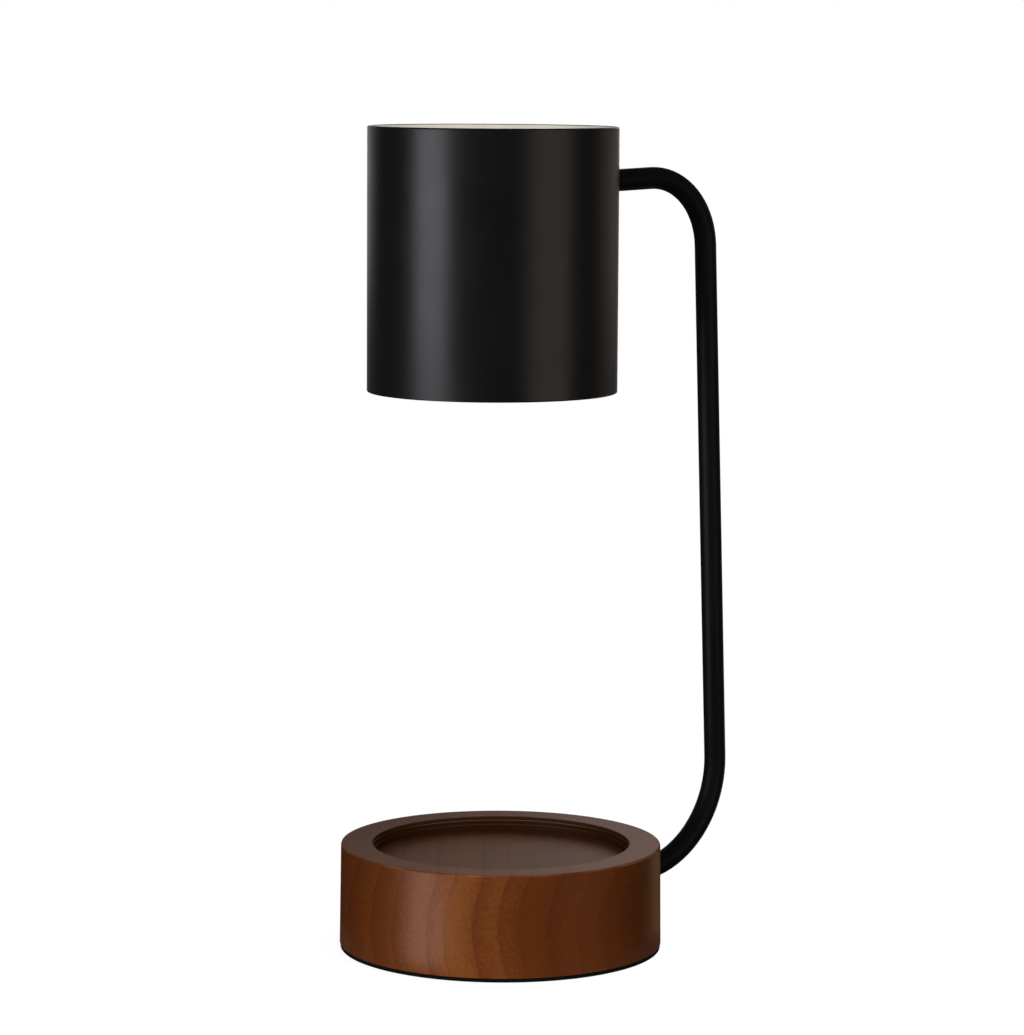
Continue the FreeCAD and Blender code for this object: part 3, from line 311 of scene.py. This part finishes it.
class Walnut(Finish):
    """Stained walnut under satin lacquer. The plank's grain runs level, so the growth rings show as
    upright arcs where the turned side cuts across them and as long lines on top."""

    def __init__(self):
        super().__init__("walnut", {
            "Specular IOR Level": 0.0,
            "Coat Weight": 0.18,
            "Coat Roughness": 0.34,
        })
        heading = (0.0, 0.0, math.radians(GRAIN_HEADING))
        self.plank = self.add("Mapping", {"Vector": self.place, "Rotation": heading}).outputs[0]
        self.pores = self.streaks(0.05, scale=2600.0, detail=3.0, roughness=0.6)
        self.measure_base()
        colour = self.grain_colour()
        colour = self.stained(colour)
        colour = self.wear_and_highlight_edge(colour)
        colour = self.painted_recess_shade(colour)
        for depth, highlight_strength in LEDGES:
            colour = self.painted_ledge_highlight(colour, depth, highlight_strength)
        roughness = self.spread(self.pores, *LACQUER_ROUGHNESS)
        rougher = self.math("MULTIPLY", self.level, ROUGHER_ON_TOP)
        self.set({"Base Color": colour, "Roughness": self.math("ADD", roughness, rougher)})
        self.bump(self.pores, distance=0.00002)
        self.set({"Coat Normal": self.bumps})

    def streaks(self, along, **shape):
        """Noise drawn out along the grain, where it changes at that share of its rate across."""
        return self.noise(self.stretched(self.plank, (1.0, along, 1.0)), **shape)

    def ring_radius(self):
        """Distance from the pith, as uneven as a tree's rings are."""
        from_pith = self.vector("SUBTRACT", self.plank, (PITH_ACROSS, 0.0, PITH_HEIGHT))
        radius = self.vector("LENGTH", self.stretched(from_pith, (1.0, 0.0, RING_SQUEEZE)))
        radius = self.math("MULTIPLY_ADD", self.streaks(0.25, scale=26.0), RING_DRIFT, radius)
        return self.math("MULTIPLY_ADD", self.streaks(0.12, scale=160.0), RING_WOBBLE, radius)

    def ring_tone(self):
        """Late wood that darkens the end of each year, on broad bands, darker in the heartwood and
        with one pale band outside it."""
        radius = self.ring_radius()
        astray = self.noise(radius, scale=55.0, dimensions="1D")
        year = self.math("DIVIDE", radius, RING_WIDTH)
        year = self.math("MULTIPLY_ADD", astray, YEARS_ASTRAY, year)
        late_wood = self.math("POWER", self.math("FRACT", year), LATE_WOOD_SHARPNESS)
        late_tone = self.span(radius, *HEARTWOOD, *LATE_WOOD_TONES)
        broad = self.noise(radius, scale=60.0, detail=1.0, dimensions="1D")
        tone = self.math("MULTIPLY_ADD", late_wood, late_tone, self.spread(broad, *BROAD_TONES))
        off_band = self.math("ABSOLUTE", self.math("SUBTRACT", radius, PALE_BAND_RADIUS))
        pale_band = self.span(off_band, 0.0, PALE_BAND_REACH, PALE_BAND_TONE, 0.0)
        tone = self.math("ADD", tone, pale_band)
        return self.math("ADD", tone, self.span(radius, *HEARTWOOD, HEARTWOOD_TONE, 0.0))

    def grain_colour(self):
        """The bare wood's colour: rings, fibres and pores."""
        fibres = self.spread(self.streaks(0.03, scale=700.0, detail=3.0), -1.0, 1.0)
        pores = self.span(self.pores, *PORE_RANGE, -1.0, 1.0)
        tone = self.math("MULTIPLY_ADD", fibres, FIBRE_TONE, self.ring_tone())
        tone = self.math("MULTIPLY_ADD", pores, PORE_TONE, tone)
        return self.ramp(tone, WALNUT_TONES)

    def measure_base(self):
        """Find where a point lies on the turned base: distances, and masks from 0 to 1."""
        self.height = self.part(self.place, "Z")
        self.from_axis = self.off_axis(self.place)
        self.facing_up = self.part(self.add("NewGeometry").outputs["Normal"], "Z")
        self.level = self.span(self.facing_up, *LEVEL_FACE)
        in_rim = self.math("LESS_THAN", self.from_axis, RECESS_RIM)
        upper_half = self.math("GREATER_THAN", self.height, (base_low.z + base_high.z) / 2)
        self.in_recess = self.both(in_rim, upper_half)
        above_floor = self.math("GREATER_THAN", self.height, base_high.z - WALL_FOOT_DEPTH)
        not_level = self.math("SUBTRACT", 1.0, self.level)
        self.recess_wall = self.both(self.in_recess, self.either(above_floor, not_level))
        along_grain = self.math("ABSOLUTE", self.part(self.plank, "Y"))
        along_grain = self.math("DIVIDE", along_grain, self.from_axis)
        self.end_grain = self.span(along_grain, *END_GRAIN)

    def stained(self, colour):
        """Stain on the level faces and the recess wall. Round the recess it is paler towards the
        front:
        painted light, standing in for the light that falls on the ring's front."""
        painted_front_light = self.span(self.part(self.place, "Y"), base_high.y, base_low.y)
        round_recess = self.math("GREATER_THAN", self.from_axis, RECESS_RIM)
        stain = self.mix(self.both(painted_front_light, round_recess), rgb(*STAIN), rgb(*PAINTED_LIGHT_STAIN))
        stain = self.mix(STAIN_COVER, colour, stain)
        return self.mix(self.either(self.level, self.recess_wall), colour, stain)

    def wear_and_highlight_edge(self, colour):
        """Pale patches on the rounded outer edge, partly wear and partly a painted highlight."""
        patches = self.span(self.noise(self.place, scale=45.0), *WEAR_AND_HIGHLIGHT_PATCHES, 0.0, MOST_WEAR_AND_HIGHLIGHT)
        sloping = self.both(self.span(self.facing_up, *SLOPE_BEGINS),
                            self.span(self.facing_up, *SLOPE_ENDS, 1.0, 0.0))
        outermost = self.math("GREATER_THAN", self.from_axis, EDGE_WEAR_AND_HIGHLIGHT_RADIUS)
        on_edge = self.both(sloping, outermost)
        return self.mix(self.both(on_edge, patches), colour, rgb(*WEAR_AND_HIGHLIGHT_WOOD))

    def painted_recess_shade(self, colour):
        """Painted shade: a dark colour on the recess wall, deepening towards the edge of the recess
        floor.
        """
        below_rim = self.math("SUBTRACT", base_high.z, self.height)
        fade_depth = self.span(self.end_grain, 0.0, 1.0, *WALL_SHADE_FADE)
        on_wall = self.both(self.recess_wall, self.span(below_rim, 0.0, fade_depth))
        floor_shade = self.span(self.from_axis, *FLOOR_SHADE_REACH, 0.0, FLOOR_SHADE_COVER)
        on_floor = self.both(self.in_recess, floor_shade)
        return self.mix(self.either(on_wall, on_floor), colour, rgb(*RECESS_SHADE_COLOUR))

    def painted_ledge_highlight(self, colour, depth, highlight_strength):
        """A painted highlight: a pale line along a ledge of the recess wall, where the wall cuts end
        grain, for the light caught on the ledge's edge.
        """
        below_ledge = self.math("SUBTRACT", base_high.z - depth, self.height)
        under_edge = self.math("GREATER_THAN", below_ledge, -LEDGE_HIGHLIGHT_HEIGHT / 10)
        line = self.span(below_ledge, LEDGE_HIGHLIGHT_HEIGHT * 0.7, LEDGE_HIGHLIGHT_HEIGHT, highlight_strength, 0.0)
        line = self.both(line, under_edge)
        line = self.both(line, self.both(self.in_recess, self.end_grain))
        return self.mix(line, colour, rgb(*LEDGE_HIGHLIGHT_COLOUR))


# ---- paint ----------------------------------------------------------------------------------

BLACKS = rgb(0.0022, 0.0022, 0.0024), rgb(0.0034, 0.0034, 0.0037)
WARM_WHITES = rgb(0.84, 0.79, 0.71), rgb(0.90, 0.85, 0.77)
ZINC_GREYS = rgb(0.45, 0.45, 0.45), rgb(0.62, 0.63, 0.63)
ZINC_SMOOTHER = 0.15
THREAD_PITCH, THREAD_DEPTH = 0.001, 0.0004

# How far the shade's black reaches in from its outside and down from its rims, and the half width
# of the black's edge.
PAINT_WRAP = 0.00095
PAINTED_LIP = 0.00028
PAINT_EDGE = 0.00003


def black_paint(name, gloss=0.2, roughness=0.33):
    """Satin black powder coat with a faint orange peel."""
    paint = Finish(name, {"Specular IOR Level": gloss})
    peel = paint.noise(paint.place, scale=900.0)
    cloud = paint.noise(paint.place, scale=60.0, detail=3.0)
    paint.set({
        "Base Color": paint.mix(cloud, *BLACKS),
        "Roughness": paint.spread(cloud, roughness - 0.02, roughness + 0.02),
    })
    paint.bump(peel, distance=0.000015)
    return paint


def arm_paint():
    """Black paint on the arm, and bare zinc plate on the threaded end inside the shade."""
    paint = black_paint("arm_paint", gloss=0.06, roughness=0.45)
    from_centre = paint.vector("SUBTRACT", paint.place, tuple(shade_centre))
    in_shade = paint.math("LESS_THAN", paint.off_axis(from_centre), shade_radius - PAINT_WRAP)
    above_mouth = paint.math("GREATER_THAN", paint.part(paint.place, "Z"), shade_low.z)
    bare = paint.both(in_shade, above_mouth)
    zinc_plate = paint.mix(paint.noise(paint.place, scale=350.0, detail=3.0), *ZINC_GREYS)
    paint.set({
        "Base Color": paint.mix(bare, paint.linked("Base Color"), zinc_plate),
        "Metallic": bare,
        "Roughness": paint.math("MULTIPLY_ADD", bare, -ZINC_SMOOTHER, paint.linked("Roughness")),
    })
    angle = paint.math("MULTIPLY", paint.part(paint.place, "X"), math.tau / THREAD_PITCH)
    thread = paint.span(paint.math("SINE", angle), -1.0, 1.0)
    paint.bump(paint.both(thread, bare), THREAD_DEPTH)
    return paint


def shade_paint():
    """Black outside and over both rims, warm white inside."""
    paint = black_paint("shade_paint")
    from_centre = paint.vector("SUBTRACT", paint.place, tuple(shade_centre))
    from_middle = paint.vector("LENGTH", paint.stretched(from_centre, (0.0, 0.0, 1.0)))
    wrap = shade_radius - PAINT_WRAP
    lip = (shade_high.z - shade_low.z) / 2 - PAINTED_LIP
    round_wall = paint.span(paint.off_axis(from_centre), wrap - PAINT_EDGE, wrap + PAINT_EDGE)
    over_rim = paint.span(from_middle, lip - PAINT_EDGE, lip + PAINT_EDGE)
    white = paint.mix(paint.noise(paint.place, scale=140.0, detail=3.0), *WARM_WHITES)
    outside = paint.either(round_wall, over_rim)
    paint.set({"Base Color": paint.mix(outside, white, paint.linked("Base Color"))})
    return paint


# ---- metal, ceramic, plastic, foam and glass ------------------------------------------------

METAL_BLOTCH_SHADE = 0.72
STRIPES_TO_THE_METRE = 500.0
STRIPE_EDGE = (0.48, 0.52)
STRIPE_GREEN = rgb(0.02, 0.16, 0.03)


def metal(name, colour, roughness, blotch=0.06):
    """Plated or raw metal with fine scratches and faint blotches, which change its roughness."""
    finish = Finish(name, {"Metallic": 1.0})
    cloud = finish.noise(finish.place, scale=350.0, detail=3.0)
    scratches = finish.noise(finish.stretched(finish.place, (1.0, 1.0, 6.0)), scale=2500.0)
    dark = rgb(*[METAL_BLOTCH_SHADE * channel for channel in colour])
    unevenness = finish.spread(cloud, -1.0, 1.0)
    finish.set({
        "Base Color": finish.mix(cloud, dark, rgb(*colour)),
        "Roughness": finish.math("MULTIPLY_ADD", unevenness, blotch, roughness),
    })
    finish.bump(scratches, distance=0.00001)
    return finish


def moulded(name, low, high, roughness):
    """Plastic or ceramic: two close shades of a colour and a fine surface grain."""
    finish = Finish(name, {})
    cloud = finish.noise(finish.place, scale=80.0, detail=3.0)
    grain = finish.noise(finish.place, scale=1600.0)
    finish.set({
        "Base Color": finish.mix(cloud, rgb(*low), rgb(*high)),
        "Roughness": finish.spread(cloud, roughness - 0.05, roughness + 0.05),
    })
    finish.bump(grain, distance=0.00002)
    return finish


def foam():
    """Closed-cell foam: matt black with small cells."""
    finish = Finish("foam", {"Roughness": 0.9, "Specular IOR Level": 0.05})
    cells = finish.add("TexVoronoi", {"Vector": finish.place, "Scale": 1800.0})
    cloud = finish.noise(finish.place, scale=120.0, detail=3.0)
    finish.set({"Base Color": finish.mix(cloud, grey(0.0025), grey(0.005))})
    finish.bump(cells.outputs["Distance"], distance=0.00012)
    return finish


def striped_wire():
    """Wire covering in bands of yellow and green, one after the other along Y."""
    finish = moulded("earth_covering", (0.42, 0.5, 0.02), (0.46, 0.54, 0.03), roughness=0.4)
    stripes = finish.math("MULTIPLY", finish.part(finish.place, "Y"), STRIPES_TO_THE_METRE)
    green = finish.span(finish.math("FRACT", stripes), *STRIPE_EDGE)
    finish.set({"Base Color": finish.mix(green, finish.linked("Base Color"), STRIPE_GREEN)})
    return finish


def glass(name, roughness):
    """Clear glass with a trace of unevenness."""
    finish = Finish(name, {"Base Color": grey(0.96), "Transmission Weight": 1.0, "IOR": 1.5})
    ripple = finish.noise(finish.place, scale=300.0)
    finish.set({"Roughness": finish.spread(ripple, roughness, roughness + 0.03)})
    finish.bump(ripple, distance=0.00002)
    return finish


# ---- the bulb's filament, a plain rod in the CAD --------------------------------------------

FILAMENT_TURNS = 15
FILAMENT_WIRE = 0.00011
STEPS_TO_A_TURN = 14


def coil_curve(low, high):
    """A wire coiled along X that fills the box from low to high."""
    middle = (low + high) / 2
    coil_radius = (high.z - low.z) / 2 - FILAMENT_WIRE
    length = high.x - low.x - 2 * FILAMENT_WIRE
    steps = FILAMENT_TURNS * STEPS_TO_A_TURN
    curve = bpy.data.curves.new("filament_coil", "CURVE")
    curve.dimensions = "3D"
    curve.bevel_depth = FILAMENT_WIRE
    curve.bevel_resolution = 2
    curve.use_fill_caps = True
    spline = curve.splines.new("POLY")
    spline.points.add(steps)
    for index in range(steps + 1):
        angle = math.tau * index / STEPS_TO_A_TURN
        spline.points[index].co = (
            middle.x + length * (index / steps - 0.5),
            middle.y + coil_radius * math.cos(angle),
            middle.z + coil_radius * math.sin(angle),
            1.0,
        )
    return curve


def filament():
    """The coiled wire that the CAD has as a plain rod of the same outer size."""
    curve = coil_curve(*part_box("bulb_filament"))
    coil = add_object("filament_coil", curve)
    curve.materials.append(metal("tungsten", (0.30, 0.29, 0.28), roughness=0.35).material)
    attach(coil, "bulb")
    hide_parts("bulb_filament")


# ---- the bulb's reflector, a smooth shell in the CAD ----------------------------------------

# The outside is a paraboloid whose radius squared is REFLECTOR_PARAMETER times the depth below the
# vertex. It ends in a straight neck with a bore.
REFLECTOR_VERTEX = 0.2858
REFLECTOR_PARAMETER = 0.015
REFLECTOR_WALL = 0.0012
REFLECTOR_EASE = 0.0004
NECK_BORE_RADIUS = 0.009
NECK_HEIGHT = 0.0025
OUTER_STEPS = 12

# Facets round the inside and from its neck to its rim, each cut into steps both ways.
FACETS_AROUND, FACETS_DOWN, FACET_STEPS = 24, 8, 4
FACET_BULGE = 0.00012
CREASE_DEGREES = 9.0
COLUMNS = FACETS_AROUND * FACET_STEPS


def outer_radius(height):
    """The reflector's outer radius at that height."""
    return math.sqrt(REFLECTOR_PARAMETER * (REFLECTOR_VERTEX - height))


def inner_height(radius):
    """The height at which the reflector's inside has that radius."""
    return REFLECTOR_VERTEX - (radius + REFLECTOR_WALL) ** 2 / REFLECTOR_PARAMETER


def circle(radius, height):
    """A level ring of points round the Z axis."""
    angles = [math.tau * column / COLUMNS for column in range(COLUMNS)]
    return [(radius * math.cos(angle), radius * math.sin(angle), height) for angle in angles]


def facet_point(column, radius, height, down):
    """A point at that place down its facet. It lies on the chord between the facet's sides, moved
    in by the facet's bulge, which is full in its middle and nothing at its edges."""
    facet, step = divmod(column, FACET_STEPS)
    across = step / FACET_STEPS
    start, end = [math.tau * side / FACETS_AROUND for side in (facet, facet + 1)]
    fullness = 16 * across * (1 - across) * down * (1 - down)
    reach = radius - FACET_BULGE * fullness
    return (reach * ((1 - across) * math.cos(start) + across * math.cos(end)),
            reach * ((1 - across) * math.sin(start) + across * math.sin(end)),
            height)


def faceted_rings(rim_top, neck_foot):
    """The inside's rings of points from the neck to the rim. Each row of facets is wider than the
    one above it by the same ratio."""
    neck, rim = [outer_radius(height) - REFLECTOR_WALL for height in (neck_foot, rim_top)]
    radii = [neck * (rim / neck) ** (row / FACETS_DOWN) for row in range(FACETS_DOWN + 1)]
    rings = []
    for step in range(FACETS_DOWN * FACET_STEPS + 1):
        row = min(step // FACET_STEPS, FACETS_DOWN - 1)
        down = step / FACET_STEPS - row
        upper, lower = radii[row], radii[row + 1]
        radius = upper + (lower - upper) * down
        height = inner_height(upper) + (inner_height(lower) - inner_height(upper)) * down
        rings.append([facet_point(column, radius, height, down) for column in range(COLUMNS)])
    return rings


def reflector_rings(low, high, lens_low, lens_high):
    """Rings of points all round the shell's section: its rim, its outside, its neck, its faceted
    inside and the front glass's seat."""
    rim = (high.x - low.x) / 2
    seat = (lens_high.x - lens_low.x) / 2
    rim_top = lens_high.z
    neck_foot = high.z - NECK_HEIGHT
    section = [
        (seat, low.z),
        (rim - REFLECTOR_EASE, low.z),
        (rim, low.z + REFLECTOR_EASE),
        (rim, rim_top - REFLECTOR_EASE),
        (rim - REFLECTOR_EASE, rim_top),
    ]
    for step in range(OUTER_STEPS + 1):
        height = rim_top + (neck_foot - rim_top) * step / OUTER_STEPS
        section.append((outer_radius(height), height))
    section += [
        (outer_radius(neck_foot), high.z),
        (NECK_BORE_RADIUS, high.z),
        (NECK_BORE_RADIUS, neck_foot),
    ]
    rings = [circle(radius, height) for radius, height in section]
    return [*rings, *faceted_rings(rim_top, neck_foot), circle(seat, rim_top)]


def ring_mesh(name, rings, axis):
    """A closed mesh through rings of points round an upright axis, the last joined to the first."""
    points = [(axis.x + x, axis.y + y, z) for ring in rings for x, y, z in ring]
    faces = []
    for index in range(len(rings)):
        this, following = index * COLUMNS, (index + 1) % len(rings) * COLUMNS
        for column in range(COLUMNS):
            beside = (column + 1) % COLUMNS
            faces.append((this + column, this + beside, following + beside, following + column))
    mesh = bpy.data.meshes.new(name)
    mesh.from_pydata(points, [], faces)
    mesh.shade_smooth()
    mesh.set_sharp_from_angle(angle=math.radians(CREASE_DEGREES))
    return mesh


def faceted_reflector(finish):
    """The glass reflector with its facets, which the CAD has as a smooth shell of the same size."""
    low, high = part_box("bulb_reflector")
    rings = reflector_rings(low, high, *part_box("bulb_lens"))
    mesh = ring_mesh("reflector_facets", rings, axis=(low + high) / 2)
    mesh.materials.append(finish.material)
    reflector = add_object("reflector_facets", mesh)
    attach(reflector, "bulb")
    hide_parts("bulb_reflector")


# ---- floor and background -------------------------------------------------------------------

FLOOR_RADIUS = 0.085
FLOOR_CORNERS = 64
FLOOR_DROP = 0.0002
FLOOR_GLOW, FLOOR_GLOW_IN_GLOSS = 0.88, 0.15
# The floor's grey under its glow, which takes the shadow, and the grey that other light meets.
FLOOR_SHADOW_GREY, FLOOR_BOUNCE_GREY = 0.2, 0.75

# The even light that surfaces get, and what gloss and glass see of the room beside the backdrop.
AMBIENT = 0.25
ROOM = 0.06

# The backdrop's reach from straight behind the lamp and half the width of its edge, in degrees, and
# the upward part of a direction between which it fades out below the horizon.
BACKDROP_SPREAD = 16.0
BACKDROP_SOFTNESS = 8.0
HORIZON_FADE = (-0.14, 0.0)


def cleared_nodes(owner):
    """Short calls for the nodes of a material or world, which starts with none."""
    owner.use_nodes = True
    owner.node_tree.nodes.clear()
    return Nodes(owner.node_tree)


def seen_directly(shading):
    """1 for what the camera, a gloss or clear glass sees, 0 for the light that surfaces get."""
    path = shading.add("LightPath").outputs
    gloss = shading.either(path["Is Glossy Ray"], path["Is Transmission Ray"])
    return shading.either(path["Is Camera Ray"], gloss)


def floor_glow(shading):
    """The floor's own light, full to the camera and through glass, and dim in gloss."""
    path = shading.add("LightPath").outputs
    straight = shading.either(path["Is Camera Ray"], path["Is Transmission Ray"])
    strength = shading.span(straight, 0.0, 1.0, FLOOR_GLOW_IN_GLOSS, FLOOR_GLOW)
    return shading.add("Emission", {"Color": grey(1.0), "Strength": strength}).outputs[0]


def floor_material():
    """A pale glow that keeps a faint shadow. Its underside lets the camera see through."""
    material = bpy.data.materials.new("floor")
    shading = cleared_nodes(material)
    bounce = shading.add("BsdfDiffuse", {"Color": grey(FLOOR_BOUNCE_GREY)}).outputs[0]
    shadowed = shading.add("BsdfDiffuse", {"Color": grey(FLOOR_SHADOW_GREY)}).outputs[0]
    pale = shading.add("AddShader", {0: shadowed, 1: floor_glow(shading)}).outputs[0]
    seen = seen_directly(shading)
    top = shading.add("MixShader", {0: seen, 1: bounce, 2: pale}).outputs[0]
    clear = shading.add("BsdfTransparent").outputs[0]
    backface = shading.add("NewGeometry").outputs["Backfacing"]
    both_sides = shading.add("MixShader", {0: backface, 1: top, 2: clear}).outputs[0]
    shading.add("OutputMaterial", {"Surface": both_sides})
    return material


def make_floor():
    """A small round floor, a hair below the pad."""
    angles = [math.tau * corner / FLOOR_CORNERS for corner in range(FLOOR_CORNERS)]
    edge = [(FLOOR_RADIUS * math.cos(angle), FLOOR_RADIUS * math.sin(angle), 0.0)
            for angle in angles]
    mesh = bpy.data.meshes.new("floor")
    mesh.from_pydata(edge, [], [tuple(range(FLOOR_CORNERS))])
    mesh.materials.append(floor_material())
    floor = add_object("floor", mesh)
    floor.location.z = -FLOOR_DROP


def make_world():
    """White to the camera. Gloss and glass see a white backdrop behind the lamp and a dim room
    round the rest, and all other rays an even soft light."""
    world = bpy.data.worlds.new("studio")
    shading = cleared_nodes(world)
    camera_ray = shading.add("LightPath").outputs["Is Camera Ray"]
    behind = turn(CAMERA_AZIMUTH, "Z") @ Vector((0.0, 1.0, 0.0))
    direction = shading.add("TexCoord").outputs["Generated"]
    facing = shading.vector("DOT_PRODUCT", direction, tuple(behind))
    edge = math.cos(math.radians(BACKDROP_SPREAD + BACKDROP_SOFTNESS))
    inside = math.cos(math.radians(BACKDROP_SPREAD - BACKDROP_SOFTNESS))
    white = shading.span(shading.part(direction, "Z"), *HORIZON_FADE, ROOM, 1.0)
    backdrop = shading.span(facing, edge, inside, ROOM, white)
    level = shading.either(camera_ray, backdrop)
    ambient = shading.add("Background", {"Color": grey(1.0), "Strength": AMBIENT}).outputs[0]
    studio = shading.add("Background", {"Color": grey(1.0), "Strength": level}).outputs[0]
    seen = seen_directly(shading)
    surroundings = shading.add("MixShader", {0: seen, 1: ambient, 2: studio}).outputs[0]
    shading.add("OutputWorld", {"Surface": surroundings})
    bpy.context.scene.world = world


# ---- lights ---------------------------------------------------------------------------------

WHITE = (1.0, 1.0, 1.0)


def softbox(name, azimuth, height, distance, size, radiance, colour=WHITE,
            lights=True, shines=True):
    """A rectangular light round the object, aimed at its centre. The azimuth counts from the
    camera's side, the height from the centre. One that doesn't light is a card for gloss alone,
    and one that doesn't shine shows in no gloss."""
    data = bpy.data.lights.new(name, "AREA")
    data.shape = "RECTANGLE"
    data.size, data.size_y = size
    data.energy = radiance * math.pi * size[0] * size[1]
    data.color = colour
    light = add_object(name, data)
    light.visible_diffuse = lights
    light.visible_glossy = shines
    angle = math.radians(CAMERA_AZIMUTH + azimuth)
    offset = Vector((math.sin(angle) * distance, -math.cos(angle) * distance, height))
    light.location = object_centre + offset
    light.rotation_euler = (object_centre - light.location).to_track_quat("-Z", "Y").to_euler()


def make_gloss_cards():
    """The cards that draw the shade's two pale bands, the light along its sides and the wood's
    sheen."""
    softbox("left_card", azimuth=-55.5, height=0.115, distance=0.8, size=(0.42, 0.18),
            radiance=11.0, colour=(0.94, 0.92, 1.0), lights=False)
    softbox("left_low_card", azimuth=-53, height=-0.34, distance=0.8, size=(0.34, 0.40),
            radiance=11.0, colour=(1.0, 0.98, 0.94), lights=False)
    softbox("left_rim_card", azimuth=-146, height=0.20, distance=0.9, size=(0.45, 0.3),
            radiance=0.47, colour=(1.0, 0.97, 0.9), lights=False)
    softbox("right_card", azimuth=51, height=0.05, distance=1.0, size=(0.74, 0.6),
            radiance=1.85, colour=(1.0, 0.87, 0.76), lights=False)
    softbox("right_rim_card", azimuth=130, height=0.14, distance=1.0, size=(0.8, 0.3),
            radiance=0.34, colour=(1.0, 0.82, 0.72), lights=False)
    softbox("right_low_card", azimuth=144, height=-0.30, distance=0.9, size=(0.42, 0.25),
            radiance=1.3, colour=(1.0, 0.66, 0.34), lights=False)
    softbox("back_card", azimuth=173, height=0.35, distance=1.3, size=(0.33, 0.5),
            radiance=2.1, colour=(1.0, 0.85, 0.78), lights=False)


def make_lights():
    """The lights that reach the surfaces without showing in their gloss."""
    softbox("front", azimuth=-15, height=0.1, distance=1.1, size=(0.8, 0.6), radiance=7.0,
            shines=False)
    softbox("behind", azimuth=165, height=0.3, distance=1.0, size=(1.2, 0.5), radiance=3.5,
            shines=False)
    softbox("top", azimuth=25, height=0.85, distance=0.35, size=(0.5, 0.5), radiance=4.5,
            shines=False)


# ---- scene ----------------------------------------------------------------------------------

make_camera()
make_floor()
make_world()
make_gloss_cards()
make_lights()

zinc = metal("zinc_plate", (0.62, 0.63, 0.63), roughness=0.3)
brass = metal("brass", (0.66, 0.44, 0.16), roughness=0.3)
steatite = moulded("steatite", (0.74, 0.72, 0.66), (0.82, 0.80, 0.74), roughness=0.55)
black_nylon = moulded("black_nylon", (0.012, 0.012, 0.012), (0.02, 0.02, 0.02), roughness=0.5)
wire_blue = moulded("neutral_covering", (0.02, 0.09, 0.36), (0.03, 0.11, 0.42), roughness=0.4)
wire_brown = moulded("live_covering", (0.09, 0.035, 0.015), (0.12, 0.045, 0.02), roughness=0.4)
cast_iron = metal("cast_iron", (0.13, 0.13, 0.135), roughness=0.6, blotch=0.1)
copper = metal("copper", (0.75, 0.36, 0.2), roughness=0.3)
white_nylon = moulded("white_nylon", (0.76, 0.75, 0.7), (0.82, 0.81, 0.76), roughness=0.45)
coating = metal("reflector_coating", (0.80, 0.82, 0.85), roughness=0.12, blotch=0.03)
support_wire = metal("support_wire", (0.40, 0.39, 0.38), roughness=0.35)

dress(Walnut(), "wood_base")
dress(foam(), "base_pad")
dress(arm_paint(), "arm_tube")
dress(shade_paint(), "shade")
dress(zinc, "bottom_plate", "bottom_plate_screws", "counterweight_screws", "arm_set_screw",
      "arm_base_washer", "arm_base_lock_washer", "arm_base_nut", "terminal_clamp_screws",
      "terminal_block_screw", "arm_shade_lock_washer", "arm_shade_nut", "holder_bracket",
      "lampholder_screws", "lampholder_nuts", "bulb_pins")
dress(cast_iron, "counterweight")
dress(brass, "earth_tag", "terminal_inserts")
dress(copper, "lampholder_contacts")
dress(white_nylon, "terminal_block")
dress(black_nylon, "cord_gland", "outer_saddle_washer", "inner_saddle_washer")
dress(wire_brown, "live_wire")
dress(wire_blue, "neutral_wire")
dress(striped_wire(), "earth_wire")
dress(steatite, "lampholder_body", "lampholder_cover", "bulb_base")
dress(glass("lens_glass", roughness=0.03), "bulb_lens")
dress(glass("quartz", roughness=0.0), "bulb_capsule")
dress(support_wire, "bulb_leads")
faceted_reflector(coating)
filament()

bpy.context.scene.view_settings.view_transform = "Standard"
